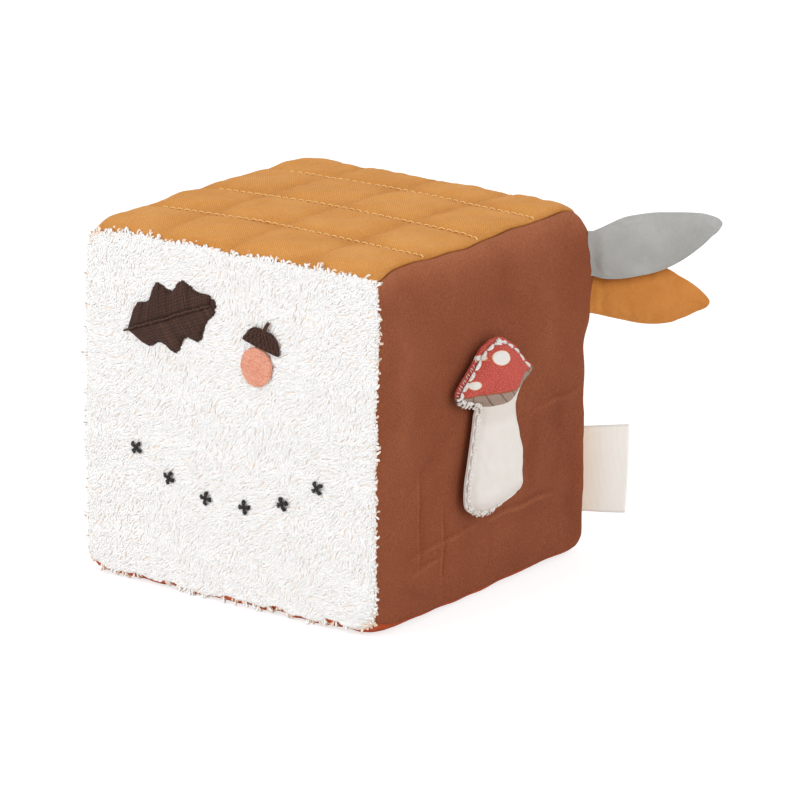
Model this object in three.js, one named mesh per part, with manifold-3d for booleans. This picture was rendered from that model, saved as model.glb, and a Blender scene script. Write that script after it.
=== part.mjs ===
// A soft fabric block for a baby. Six sewn panels cover a foam core with a rattle inside. The
// top is quilted, the front is towelling with embroidery, a stuffed toadstool sits on one side,
// and two leaf tabs and a folded tape loop are held in one upright seam.
// Millimetres, +Z up. The origin is the middle of the face that the block stands on. The
// towelling faces -Y and the toadstool faces +X.
import * as THREE from "three";
import { mergeVertices } from "three/addons/utils/BufferGeometryUtils.js";
import Module from "manifold-3d";

const wasm = await Module();
wasm.setup();

// The block
const BLOCK_EDGE = 120; // seam to seam, each way
const SEAM_RADIUS = 3; // how the cloth rounds over towards each seam
const EDGE_STAND_OUT = 0.4; // the foam pushes the middle of each seam out by this
const CORNER_BLUNTING = 0.6; // how far the sewn corners fall short of sharp ones
const CORNER_REACH = 9; // how far from a corner its blunting is felt
const SEAM_ALLOWANCE = 5; // cloth turned in behind each seam
const CLEARANCE = 0.3; // between pieces that touch
const SEAM_GAP = 0.36; // between two panels along their seam

// Cloth thicknesses and crowns of the panels
const TWILL = 0.8;
const TOWELLING = 2.2; // ground cloth and pile together
const SIDE_CROWN = 1.3;
const TOWELLING_CROWN = 1.1;
const TOP_CROWN = 1.9;
const RESTING_CROWN = 0.5; // pressed flat again by what the block stands on

// Quilting of the top
const QUILT_SQUARES = 4; // each way
const QUILT_PUFF = 1; // rise of each square between the lines of stitches
const WADDING = 1.5; // thickness of the wadding under the lines of stitches
const QUILT_THREAD = 0.5; // diameter
const QUILT_END = 4; // the lines of stitches stop this far short of the seam

// Rattle
const CASE_RADIUS = 13;
const CASE_LENGTH = 40;
const CASE_WALL = 1.6;
const CASE_LAP = 3; // the two cups overlap by this at their mouths
const BALL_RADIUS = 3;
const BALL_LANES = [-50, 0, 50]; // degrees round from the lowest line of the case

// Leaf tabs
const LEAF_CLOTH = 0.7;
const LEAF_PUFF = 0.5; // extra thickness in the middle of each cloth
const LEAF_SEAM_MARGIN = 2.6; // flat sewn edge round the film
const CRINKLE_FILM = 0.3;
const LEAF_BULGE = 2; // the thick seam stands out here
const TAB_FADE = 13; // the seam's bulge dies out this far from a tab

// Each row of a leaf is a place along it as a share of its length, then its lower and upper
// edges there, measured from the middle of its root as shares of its width.
const GREY_LEAF = {
  length: 43.8,
  width: 21.4,
  rootDrop: 14.5, // from the top of the block to the middle of the root
  side: 1,
  rowShares: [
    [0, -0.36, 0.365],
    [0.096, -0.402, 0.43],
    [0.228, -0.425, 0.537],
    [0.347, -0.407, 0.579],
    [0.473, -0.36, 0.603],
    [0.598, -0.271, 0.598],
    [0.724, -0.131, 0.589],
    [0.849, 0.061, 0.565],
    [0.913, 0.187, 0.528],
    [0.961, 0.266, 0.491],
    [0.986, 0.336, 0.458],
    [1, 0.38, 0.42],
  ],
};
const MUSTARD_LEAF = {
  length: 41,
  width: 22,
  rootDrop: 27.8,
  side: -1,
  rowShares: [
    [0, -0.364, 0.364],
    [0.134, -0.45, 0.414],
    [0.271, -0.523, 0.427],
    [0.407, -0.582, 0.409],
    [0.544, -0.605, 0.341],
    [0.673, -0.586, 0.227],
    [0.741, -0.541, 0.141],
    [0.807, -0.5, 0.068],
    [0.878, -0.436, -0.023],
    [0.946, -0.391, -0.136],
    [0.98, -0.355, -0.205],
    [1, -0.3, -0.26],
  ],
};

// Tape loop
const TAPE = 0.5;
const TAPE_WIDTH = 31;
const TAPE_LENGTH = 15; // how far the folded loop stands out
const TAPE_FOOT = 13; // from the floor to its lower edge
const TAPE_SLOT = 0.5; // between its two layers
const TAPE_BULGE = 0.8;

// Toadstool
const TOADSTOOL_HEIGHT = 60;
const TOADSTOOL_CAP = 43.8; // width
const TOADSTOOL_FOOT = 29.3; // from the floor to its lowest point
const TOADSTOOL_SHIFT = 1.1; // of its middle, towards the front
const TOADSTOOL_CLOTH = 0.7;
const TOADSTOOL_FRONT = 4.6; // how far its front cloth swells
const TOADSTOOL_BACK = 2; // how far its back cloth swells
const TOADSTOOL_MARGIN = 2.2; // flat sewn edge
const TOADSTOOL_SLOPE = 9; // from the margin to full height
const FILLING_INSET = 3.6; // from the edge to the filling
const EDGE_THREAD = 0.6; // diameter
const EDGE_THREAD_INSET = 1.2;
const EDGE_STITCH = 3.8; // length of one stitch round the edge

// Embroidery on the front
const EMBROIDERY = 0.8; // thickness of the stitching
const LEAF_MOTIF = { length: 39, width: 24, across: -22, height: 95, tilt: 22 };
const NUT_MOTIF = { length: 13, width: 12.5, across: 13, height: 84, tilt: 76 };
const CUP_MOTIF = { length: 6, width: 15 };
const SPRIG_RADIUS = 2.4;
const SPRIG_ARC = { radius: 62, middle: 97, spread: 74 }; // middle is a height, spread is degrees
const SPRIGS = 6;

const HALF = BLOCK_EDGE / 2;
const DIAGONAL_SHARE = Math.SQRT1_2; // of a diagonal length, along each of its two axes
const SEAM_REACH_POWER = 6; // how fast the pull of a seam fades across a face
const QUILT_FULLNESS = 0.7; // a smaller power gives squares that rise more steeply from their lines
const RIM_SHARE = 1 - SEAM_GAP / HALF;
const FLAT_SHARES = mirrored([0.25, 0.5, 0.75, 0.875, 0.95, RIM_SHARE]);
const QUILT_SHARES = mirrored([
  0.125, 0.25, 0.375, 0.5, 0.625, 0.75, 0.875, 0.95, RIM_SHARE,
]);
const SQUEEZE_SHARE = 0.875; // inner layers are narrowed beyond this share of the face
const FOAM_SHARES = mirrored([0.4, 0.74, 0.9, 1]);

const COLOURS = {
  towelling: 0xf4f1ef,
  rust: 0x8b513a,
  mustard: 0xd99855,
  thread: 0xefc076,
  foam: 0xf3e6c4,
  wadding: 0xf5f3ee,
  casing: 0xe8e6e1,
  ball: 0xc9ccd0,
  grey: 0xacaca9,
  leafMustard: 0xc88240,
  film: 0xe9eef0,
  tape: 0xf0e7db,
  cap: 0xd16256,
  stem: 0xe7e0da,
  edging: 0xd9d6d0,
  darkBrown: 0x493028,
  peach: 0xe8a287,
  black: 0x2b2728,
};

const part = new THREE.Group();

function vector(x, y, z) {
  return new THREE.Vector3(x, y, z);
}

function mirrored(shares) {
  return [...shares.map((share) => -share).reverse(), 0, ...shares];
}

function addPiece(name, geometry, colour, roughness = 0.9, metalness = 0) {
  const material = new THREE.MeshStandardMaterial({ color: colour, roughness, metalness });
  const mesh = new THREE.Mesh(geometry, material);
  mesh.name = name;
  part.add(mesh);
  return mesh;
}

// Mesh building

function grid(columns, rows, make) {
  return columns.map((u) => rows.map((v) => make(u, v)));
}

// The border of a grid, once round from its first corner, anticlockwise seen from outside.
function border(cells) {
  const columns = cells.length - 1;
  const rows = cells[0].length - 1;
  const loop = [];
  for (let i = 0; i < columns; i++) loop.push(cells[i][0]);
  for (let j = 0; j < rows; j++) loop.push(cells[columns][j]);
  for (let i = columns; i > 0; i--) loop.push(cells[i][rows]);
  for (let j = rows; j > 0; j--) loop.push(cells[0][j]);
  return loop;
}

function meshOf(positions, triangles) {
  const geometry = new THREE.BufferGeometry();
  geometry.setAttribute("position", new THREE.Float32BufferAttribute(positions, 3));
  geometry.setIndex(triangles);
  geometry.computeVertexNormals();
  return geometry;
}

// A closed sheet: an outer grid, an inner grid, and loops that lead from the border of one to
// the border of the other.
function closedSheet(outer, inner, loops = []) {
  const positions = [];
  const triangles = [];
  const add = (point) => {
    positions.push(point.x, point.y, point.z);
    return positions.length / 3 - 1;
  };
  const quad = (a, b, c, d) => triangles.push(a, b, c, a, c, d);
  const outerIds = outer.map((column) => column.map(add));
  const innerIds = inner.map((column) => column.map(add));
  for (let i = 0; i + 1 < outer.length; i++) {
    for (let j = 0; j + 1 < outer[0].length; j++) {
      quad(outerIds[i][j], outerIds[i + 1][j], outerIds[i + 1][j + 1], outerIds[i][j + 1]);
      quad(innerIds[i][j], innerIds[i][j + 1], innerIds[i + 1][j + 1], innerIds[i + 1][j]);
    }
  }
  const rings = [border(outerIds), ...loops.map((loop) => loop.map(add)), border(innerIds)];
  for (let k = 0; k + 1 < rings.length; k++) {
    const count = rings[k].length;
    for (let i = 0; i < count; i++) {
      const next = (i + 1) % count;
      quad(rings[k][i], rings[k + 1][i], rings[k + 1][next], rings[k][next]);
    }
  }
  return meshOf(positions, triangles);
}

// A thread along a list of points. lift is the direction away from the cloth.
function threadGeometry(points, diameter, lift, closed) {
  const sides = 4;
  const positions = [];
  const triangles = [];
  const count = points.length;
  points.forEach((point, i) => {
    const before = points[closed ? (i + count - 1) % count : Math.max(i - 1, 0)];
    const after = points[closed ? (i + 1) % count : Math.min(i + 1, count - 1)];
    const tangent = after.clone().sub(before).normalize();
    const sideways = tangent.clone().cross(lift).normalize();
    const upwards = sideways.clone().cross(tangent);
    for (let k = 0; k < sides; k++) {
      const angle = ((k + 0.5) / sides) * 2 * Math.PI;
      const corner = point.clone();
      corner.addScaledVector(sideways, (diameter / 2) * Math.cos(angle));
      corner.addScaledVector(upwards, (diameter / 2) * Math.sin(angle));
      positions.push(corner.x, corner.y, corner.z);
    }
  });
  const spans = closed ? count : count - 1;
  for (let i = 0; i < spans; i++) {
    const here = i * sides;
    const there = ((i + 1) % count) * sides;
    for (let k = 0; k < sides; k++) {
      const next = (k + 1) % sides;
      triangles.push(here + k, there + k, there + next, here + k, there + next, here + next);
    }
  }
  if (!closed) {
    const last = (count - 1) * sides;
    for (let k = 1; k + 1 < sides; k++) {
      triangles.push(0, k, k + 1, last, last + k + 1, last + k);
    }
  }
  return meshOf(positions, triangles);
}

function solidOf(geometry) {
  const bare = geometry.clone();
  bare.deleteAttribute("normal");
  bare.deleteAttribute("uv");
  const merged = mergeVertices(bare);
  const vertProperties = new Float32Array(merged.attributes.position.array);
  const triVerts = new Uint32Array(merged.index.array);
  return new wasm.Manifold(new wasm.Mesh({ numProp: 3, vertProperties, triVerts }));
}

function geometryOf(solid) {
  const mesh = solid.getMesh();
  return meshOf(mesh.vertProperties, [...mesh.triVerts]);
}

// The shape of the block

function face(normal, across, up, crown) {
  return { normal, across, up, crown };
}

const FACES = {
  front: face(vector(0, -1, 0), vector(1, 0, 0), vector(0, 0, 1), TOWELLING_CROWN),
  right: face(vector(1, 0, 0), vector(0, 1, 0), vector(0, 0, 1), SIDE_CROWN),
  back: face(vector(0, 1, 0), vector(-1, 0, 0), vector(0, 0, 1), SIDE_CROWN),
  left: face(vector(-1, 0, 0), vector(0, -1, 0), vector(0, 0, 1), SIDE_CROWN),
  top: face(vector(0, 0, 1), vector(1, 0, 0), vector(0, 1, 0), TOP_CROWN),
  bottom: face(vector(0, 0, -1), vector(1, 0, 0), vector(0, -1, 0), RESTING_CROWN),
};
FACES.top.quilted = true;
FACES.bottom.resting = true;

function onFace(side, across, up, outwards) {
  const point = side.across.clone().multiplyScalar(across);
  point.addScaledVector(side.up, up);
  return point.addScaledVector(side.normal, outwards);
}

function clamp(value, low, high) {
  return Math.min(Math.max(value, low), high);
}

function smoothStep(value) {
  const share = clamp(value, 0, 1);
  return share * share * (3 - 2 * share);
}

// 1 between two heights, fading to 0 on both sides.
function plateau(height, low, high) {
  const below = smoothStep((height - low) / TAB_FADE + 1);
  const above = smoothStep((high - height) / TAB_FADE + 1);
  return below * above;
}

// The height above the floor of a place whose distance from the middle of a leaf's root is a
// share of the leaf's width.
function leafZ(leaf, edgeShare) {
  return BLOCK_EDGE - leaf.rootDrop + edgeShare * leaf.width;
}

const [[, MUSTARD_ROOT_SHARE]] = MUSTARD_LEAF.rowShares;
const [[, , GREY_ROOT_SHARE]] = GREY_LEAF.rowShares;
const LEAF_ROOT_FOOT = leafZ(MUSTARD_LEAF, MUSTARD_ROOT_SHARE);
const LEAF_ROOT_TOP = leafZ(GREY_LEAF, GREY_ROOT_SHARE);

// How far a seam stands out at a place along it. The upright seam that holds the tabs stands
// out further at their roots.
function standOut(share, along) {
  const plain = EDGE_STAND_OUT * (1 - share[along] ** 2);
  if (along !== "z" || share.x < 0 || share.y < 0) return plain;
  const height = HALF * (1 + share.z);
  const leaves = plateau(height, LEAF_ROOT_FOOT, LEAF_ROOT_TOP);
  const tape = plateau(height, TAPE_FOOT, TAPE_FOOT + TAPE_WIDTH);
  const free = plain * (1 - leaves) * (1 - tape);
  return free + LEAF_BULGE * leaves + TAPE_BULGE * tape;
}

// The push of the twelve seams and the pull of the eight corners on a point of the cube. The
// seams push along their own diagonals, and both fade across the faces.
function seamPush(share) {
  const push = vector(0, 0, 0);
  const axes = [
    ["x", "y", "z"],
    ["y", "z", "x"],
    ["z", "x", "y"],
  ];
  for (const [along, a, b] of axes) {
    const nearness = Math.abs(share[a] * share[b]) ** SEAM_REACH_POWER;
    const outwards = nearness * standOut(share, along) * DIAGONAL_SHARE;
    push[a] += Math.sign(share[a]) * outwards;
    push[b] += Math.sign(share[b]) * outwards;
  }
  const shortfall = [share.x, share.y, share.z].map((value) => 1 - Math.abs(value));
  const fromCorner = (HALF * Math.hypot(...shortfall)) / CORNER_REACH;
  const blunting = (CORNER_BLUNTING * Math.max(0, 1 - fromCorner ** 2) ** 2) / Math.sqrt(3);
  for (const axis of ["x", "y", "z"]) push[axis] -= Math.sign(share[axis]) * blunting;
  return push;
}

// Each square between the lines of stitches swells like a small pillow.
function pillow(u, v) {
  const rise = (share) => {
    const place = ((share + 1) / 2) * QUILT_SQUARES;
    const within = place - Math.floor(place);
    return 4 * within * (1 - within);
  };
  return QUILT_PUFF * (rise(u) * rise(v)) ** QUILT_FULLNESS;
}

// A point of the cloth on one side of the block. u and v run from -1 to 1 across the face, and
// depth is measured inwards from the outside of the cloth.
function clothPoint(side, u, v, depth = 0, puffShare = 1) {
  const reach = HALF - SEAM_RADIUS;
  const core = vector(clamp(u * HALF, -reach, reach), clamp(v * HALF, -reach, reach), reach);
  const local = vector(u * HALF, v * HALF, HALF).sub(core);
  local.setLength(SEAM_RADIUS - depth).add(core);
  local.z += side.crown * (1 - u * u) * (1 - v * v);
  if (side.quilted) local.z += pillow(u, v) * puffShare;
  const point = onFace(side, local.x, local.y, local.z).add(seamPush(onFace(side, u, v, 1)));
  point.z += HALF;
  if (side.resting) point.z = Math.max(point.z, depth);
  return point;
}

// Panels

// The share of the face at which a layer at this depth is as far from the seam's plane as asked.
function innerShare(depth, fromSeamPlane) {
  const radius = SEAM_RADIUS - depth;
  const slope = (Math.SQRT2 * fromSeamPlane) / radius;
  if (radius <= 0 || slope >= 1) return (HALF - depth - Math.SQRT2 * fromSeamPlane) / HALF;
  const rest = 1 - slope * slope;
  const rise = (1 - Math.sqrt(1 - rest * rest)) / rest;
  return (HALF - SEAM_RADIUS + rise * SEAM_RADIUS) / HALF;
}

function squeezed(share, limit) {
  const size = Math.abs(share);
  if (size <= SQUEEZE_SHARE) return share;
  const beyond = (size - SQUEEZE_SHARE) / (RIM_SHARE - SQUEEZE_SHARE);
  return Math.sign(share) * (SQUEEZE_SHARE + beyond * (limit - SQUEEZE_SHARE));
}

// A place in the seam allowance, which is turned in along the plane between two faces.
function allowancePoint(side, u, v, inwards, thickness) {
  const down = (thickness - inwards) * DIAGONAL_SHARE;
  const back = (thickness + inwards) * DIAGONAL_SHARE;
  return clothPoint(side, u, v).add(onFace(side, -u * back, -v * back, down));
}

function panel(side, thickness, shares) {
  const limit = innerShare(thickness, TWILL + SEAM_GAP / 2);
  const outer = grid(shares, shares, (u, v) => clothPoint(side, u, v));
  const inner = grid(shares, shares, (u, v) =>
    clothPoint(side, squeezed(u, limit), squeezed(v, limit), thickness),
  );
  const rim = border(grid(shares, shares, (u, v) => [u, v]));
  const outerTip = rim.map(([u, v]) => allowancePoint(side, u, v, SEAM_ALLOWANCE, 0));
  const innerTip = rim.map(([u, v]) => allowancePoint(side, u, v, SEAM_ALLOWANCE, TWILL));
  return closedSheet(outer, inner, [outerTip, innerTip]);
}

function addPanels() {
  const { front, right, back, left, top, bottom } = FACES;
  addPiece("front_towelling_panel", panel(front, TOWELLING, FLAT_SHARES), COLOURS.towelling, 1);
  addPiece("right_twill_panel", panel(right, TWILL, FLAT_SHARES), COLOURS.rust);
  addPiece("back_twill_panel", panel(back, TWILL, FLAT_SHARES), COLOURS.rust);
  addPiece("left_twill_panel", panel(left, TWILL, FLAT_SHARES), COLOURS.rust);
  addPiece("bottom_twill_panel", panel(bottom, TWILL, FLAT_SHARES), COLOURS.rust);
  addPiece("top_quilted_panel", panel(top, TWILL, QUILT_SHARES), COLOURS.mustard);
}

const WADDING_TOP = TWILL + CLEARANCE;
const WADDING_FLOOR = WADDING_TOP + WADDING;

function addWadding() {
  const side = FACES.top;
  const limit = innerShare(WADDING_FLOOR, TWILL + SEAM_GAP / 2 + CLEARANCE);
  const layer = (depth, puffShare) =>
    grid(QUILT_SHARES, QUILT_SHARES, (u, v) =>
      clothPoint(side, squeezed(u, limit), squeezed(v, limit), depth, puffShare),
    );
  const geometry = closedSheet(layer(WADDING_TOP, 1), layer(WADDING_FLOOR, 0));
  addPiece("top_wadding", geometry, COLOURS.wadding);
}

const HOP_REACH = 1.5; // steps on each side of a crossing

// The lines of stitches. Those along X ride over those along Y where they cross.
function addQuiltThreads() {
  const side = FACES.top;
  const end = 1 - QUILT_END / HALF;
  const lines = [];
  for (let i = 1; i < QUILT_SQUARES; i++) lines.push((2 * i) / QUILT_SQUARES - 1);
  const step = (2 * QUILT_THREAD) / HALF;
  const hop = QUILT_THREAD + CLEARANCE;
  const stops = [-end, end];
  for (let i = 0; i < QUILT_SQUARES; i++) stops.push((2 * i + 1) / QUILT_SQUARES - 1);
  for (const line of lines) stops.push(line - 2 * step, line - step, line + step, line + 2 * step);
  stops.sort((a, b) => a - b);
  const rest = CLEARANCE + QUILT_THREAD / 2;
  const isNearLine = (share) => lines.some((line) => Math.abs(share - line) < HOP_REACH * step);
  lines.forEach((line, index) => {
    const long = stops.map((u) => clothPoint(side, u, line, -rest - (isNearLine(u) ? hop : 0)));
    const cross = stops.map((v) => clothPoint(side, line, v, -rest));
    const up = side.normal;
    addPiece("quilt_thread_long_" + (index + 1), threadGeometry(long, QUILT_THREAD, up), COLOURS.thread);
    addPiece("quilt_thread_cross_" + (index + 1), threadGeometry(cross, QUILT_THREAD, up), COLOURS.thread);
  });
}

// Foam core and rattle

// The foam's edges are rounded far enough to leave room for the seam allowances.
function foamCube() {
  const depths = {
    x: TWILL + CLEARANCE,
    front: TOWELLING + CLEARANCE,
    back: TWILL + CLEARANCE,
    top: WADDING_FLOOR + CLEARANCE,
    bottom: TWILL + CLEARANCE,
  };
  const tip = SEAM_RADIUS * (1 - DIAGONAL_SHARE) + SEAM_ALLOWANCE * DIAGONAL_SHARE;
  const radius = (tip + CLEARANCE - depths.x) / (1 - DIAGONAL_SHARE);
  const size = vector(
    HALF - depths.x,
    HALF - (depths.front + depths.back) / 2,
    HALF - (depths.top + depths.bottom) / 2,
  );
  const middle = vector(0, (depths.front - depths.back) / 2, HALF + (depths.bottom - depths.top) / 2);
  const triangles = [];
  const positions = [];
  for (const side of Object.values(FACES)) {
    const first = positions.length / 3;
    for (const u of FOAM_SHARES) {
      for (const v of FOAM_SHARES) {
        const corner = onFace(side, u, v, 1).multiply(size);
        const reach = size.clone().subScalar(radius);
        const core = corner.clone().clamp(reach.clone().negate(), reach);
        const point = corner.sub(core).setLength(radius).add(core).add(middle);
        if (!side.resting) point.addScaledVector(side.normal, side.crown * (1 - u * u) * (1 - v * v));
        positions.push(point.x, point.y, point.z);
      }
    }
    const count = FOAM_SHARES.length;
    for (let i = 0; i + 1 < count; i++) {
      for (let j = 0; j + 1 < count; j++) {
        const a = first + i * count + j;
        triangles.push(a, a + count, a + count + 1, a, a + count + 1, a + 1);
      }
    }
  }
  return solidOf(meshOf(positions, triangles));
}

const CUT_MARGIN = 10; // a cutting block reaches this far past what it cuts
const ROUND_SIDES = 24; // of the pocket and of the turned cups

function addFoam() {
  const foam = foamCube();
  const pocket = new THREE.CylinderGeometry(
    CASE_RADIUS + CLEARANCE,
    CASE_RADIUS + CLEARANCE,
    CASE_LENGTH + 2 * CLEARANCE,
    ROUND_SIDES,
  );
  pocket.rotateZ(Math.PI / 2);
  pocket.translate(0, 0, HALF);
  const hollow = foam.subtract(solidOf(pocket));
  const width = BLOCK_EDGE + 2 * CUT_MARGIN;
  const half = new THREE.BoxGeometry(width, width, width);
  const above = solidOf(half.clone().translate(0, 0, HALF - CLEARANCE / 2 + width / 2));
  const below = solidOf(half.clone().translate(0, 0, HALF + CLEARANCE / 2 - width / 2));
  addPiece("foam_core_lower", geometryOf(hollow.subtract(above)), COLOURS.foam, 1);
  addPiece("foam_core_upper", geometryOf(hollow.subtract(below)), COLOURS.foam, 1);
}

// A turned piece about the X axis through the middle of the block. Each profile point is a
// radius and a place along the axis.
function turned(profile) {
  const geometry = new THREE.LatheGeometry(
    profile.map(([radius, along]) => new THREE.Vector2(radius, along)),
    ROUND_SIDES,
  );
  geometry.rotateZ(-Math.PI / 2);
  return geometry.translate(0, 0, HALF);
}

function addRattle() {
  const inner = CASE_RADIUS - CASE_WALL;
  const end = CASE_LENGTH / 2;
  const floor = end - CASE_WALL;
  const middle = CASE_RADIUS - CASE_WALL / 2;
  const gap = CLEARANCE / 2;
  const left = [
    [0, -end],
    [CASE_RADIUS - CASE_WALL / 2, -end],
    [CASE_RADIUS, -end + CASE_WALL / 2],
    [CASE_RADIUS, -gap],
    [middle - gap, -gap],
    [middle - gap, CASE_LAP],
    [inner, CASE_LAP],
    [inner, -floor],
    [0, -floor],
  ];
  const right = [
    [0, floor],
    [inner, floor],
    [inner, CASE_LAP + CLEARANCE],
    [middle + gap, CASE_LAP + CLEARANCE],
    [middle + gap, gap],
    [CASE_RADIUS, gap],
    [CASE_RADIUS, end - CASE_WALL / 2],
    [CASE_RADIUS - CASE_WALL / 2, end],
    [0, end],
  ];
  addPiece("rattle_case_left", turned(left), COLOURS.casing, 0.4);
  addPiece("rattle_case_right", turned(right), COLOURS.casing, 0.4);
  const lane = inner - BALL_RADIUS - CLEARANCE;
  BALL_LANES.forEach((degrees, index) => {
    const angle = THREE.MathUtils.degToRad(degrees);
    const ball = addPiece(
      "rattle_ball_" + (index + 1),
      new THREE.SphereGeometry(BALL_RADIUS, 8, 6),
      COLOURS.ball,
      0.3,
      0.6,
    );
    ball.position.set(0, lane * Math.sin(angle), HALF - lane * Math.cos(angle));
  });
}

// Tabs in the upright seam

const SEAM_CENTRE = (HALF - SEAM_RADIUS) * Math.SQRT2; // of the seam's rounding, along the diagonal
const LEAF_EDGE = CLEARANCE / 2 + LEAF_CLOTH; // half the thickness at the sewn edge
const FILM_ROOM = CRINKLE_FILM / 2 + CLEARANCE;
const LEAF_OFFSET = FILM_ROOM + LEAF_CLOTH + LEAF_PUFF + CLEARANCE / 2;
const ROOMY_SHARE = 0.95; // the two cloths stand apart up to this share of a leaf's length
const FILM_START_SHARE = 0.09;
const FILM_END_SHARE = 0.86;

// The distance from the block's upright axis to a bending line, out along the diagonal. The
// tab's root is round about that line and just clears the seam.
function bendLine(rootRadius, offset, bulge) {
  const clear = SEAM_RADIUS + rootRadius + CLEARANCE;
  return SEAM_CENTRE + bulge + Math.sqrt(clear * clear - offset * offset);
}

// A point of a tab: along is measured out from the bending line, facing towards +X and -Y.
function tabPoint(bend, offset, along, facing, z) {
  const out = (bend + along) * DIAGONAL_SHARE;
  const side = (offset + facing) * DIAGONAL_SHARE;
  return vector(out + side, out - side, z);
}

// A height on a leaf. across runs from -1 to 1 between a row's edges, each moved in by margin.
function leafHeight(leaf, row, across, margin = 0) {
  const [, lowShare, highShare] = row;
  const low = leafZ(leaf, lowShare) + margin;
  const high = leafZ(leaf, highShare) - margin;
  return (low + high + across * (high - low)) / 2;
}

function addLeaf(name, leaf, colour) {
  const offset = LEAF_OFFSET * leaf.side;
  const bend = bendLine(LEAF_EDGE, LEAF_OFFSET, LEAF_BULGE);
  const rootShares = [-0.9, -0.5]; // of the root's radius, behind the bending line
  const acrossShares = mirrored([0.4, 0.74, 1]);
  const stations = [
    ...rootShares.map((share) => ({ along: share * LEAF_EDGE, row: leaf.rowShares[0] })),
    ...leaf.rowShares.map((row) => ({ along: row[0] * leaf.length, row })),
  ];
  const isRoomy = (share, across) => share > 0 && share < ROOMY_SHARE && Math.abs(across) < 1;
  const innerHalf = (share, across) => (isRoomy(share, across) ? FILM_ROOM : CLEARANCE / 2);
  const outerHalf = (along, across) => {
    if (along < 0) return Math.sqrt(LEAF_EDGE ** 2 - along ** 2);
    const share = along / leaf.length;
    const puff = LEAF_PUFF * (1 - across * across) * Math.sin(Math.PI * share);
    return innerHalf(share, across) + LEAF_CLOTH + puff;
  };
  const layer = (half, sign) =>
    grid(stations, acrossShares, ({ along, row }, across) =>
      tabPoint(bend, offset, along, sign * half(along, across), leafHeight(leaf, row, across)),
    );
  const inside = (along, across) => innerHalf(along / leaf.length, across);
  const frontCloth = closedSheet(layer(outerHalf, 1), layer(inside, 1));
  const backCloth = closedSheet(layer(inside, -1), layer(outerHalf, -1));
  addPiece(name + "_front_cloth", frontCloth, colour);
  addPiece(name + "_back_cloth", backCloth, colour);
  addFilm(name, leaf, bend, offset);
}

function addFilm(name, leaf, bend, offset) {
  const rows = leaf.rowShares.filter(([share]) => share > FILM_START_SHARE && share < FILM_END_SHARE);
  const face = (facing) =>
    grid(rows, [-1, 0, 1], (row, across) => {
      const z = leafHeight(leaf, row, across, LEAF_SEAM_MARGIN);
      return tabPoint(bend, offset, row[0] * leaf.length, facing, z);
    });
  const film = closedSheet(face(CRINKLE_FILM / 2), face(-CRINKLE_FILM / 2));
  addPiece(name + "_crinkle_film", film, COLOURS.film, 0.3);
}

// The tape is folded in half, with its fold at the outer end and both ends in the seam.
function addTapeLoop() {
  const rootRadius = TAPE + TAPE_SLOT / 2;
  const slot = TAPE_SLOT / 2;
  const bend = bendLine(rootRadius, 0, TAPE_BULGE);
  const fold = TAPE_LENGTH - rootRadius;
  const slotAngle = Math.asin(slot / rootRadius);
  const outline = new THREE.Shape();
  outline.moveTo(-rootRadius * Math.cos(slotAngle), slot);
  outline.lineTo(fold, slot);
  outline.absarc(fold, 0, slot, Math.PI / 2, -Math.PI / 2, true);
  outline.lineTo(-rootRadius * Math.cos(slotAngle), -slot);
  outline.absarc(0, 0, rootRadius, Math.PI + slotAngle, 1.5 * Math.PI, false);
  outline.lineTo(fold, -rootRadius);
  outline.absarc(fold, 0, rootRadius, -Math.PI / 2, Math.PI / 2, false);
  outline.lineTo(0, rootRadius);
  outline.absarc(0, 0, rootRadius, Math.PI / 2, Math.PI - slotAngle, false);
  const geometry = new THREE.ExtrudeGeometry(outline, {
    depth: TAPE_WIDTH,
    bevelEnabled: false,
    curveSegments: 6,
  });
  const loop = addPiece("tape_loop", geometry, COLOURS.tape);
  loop.rotation.z = Math.PI / 4;
  loop.position.set(bend * DIAGONAL_SHARE, bend * DIAGONAL_SHARE, TAPE_FOOT);
}

// Toadstool

// Each row: its height as a share of the whole, then its left and right edges as shares of half
// the cap's width.
const TOADSTOOL_ROW_SHARES = [
  [0, -0.338, -0.11],
  [0.012, -0.429, 0.087],
  [0.03, -0.525, 0.315],
  [0.05, -0.607, 0.562],
  [0.075, -0.685, 0.694],
  [0.11, -0.721, 0.785],
  [0.17, -0.73, 0.804],
  [0.23, -0.716, 0.804],
  [0.29, -0.681, 0.785],
  [0.37, -0.63, 0.74],
  [0.45, -0.584, 0.662],
  [0.52, -0.544, 0.6],
  [0.6, -0.511, 0.584],
  [0.637, -0.49, 0.6],
  [0.668, -0.726, 0.639],
  [0.69, -0.904, 0.731],
  [0.715, -0.968, 0.877],
  [0.75, -1, 1],
  [0.775, -0.986, 0.963],
  [0.81, -0.9, 0.826],
  [0.855, -0.776, 0.689],
  [0.9, -0.626, 0.58],
  [0.94, -0.489, 0.425],
  [0.97, -0.365, 0.288],
  [0.99, -0.2, 0.183],
  [1, -0.11, 0.073],
];

function toadstoolEdge(share) {
  return (share * TOADSTOOL_CAP) / 2 - TOADSTOOL_SHIFT;
}

const TOADSTOOL_OUTLINE = [
  ...TOADSTOOL_ROW_SHARES.map(([height, , right]) => [toadstoolEdge(right), toadstoolZ(height)]),
  ...TOADSTOOL_ROW_SHARES.map(([height, left]) => [toadstoolEdge(left), toadstoolZ(height)]).reverse(),
];

function toadstoolZ(share) {
  return TOADSTOOL_FOOT + share * TOADSTOOL_HEIGHT;
}

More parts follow.
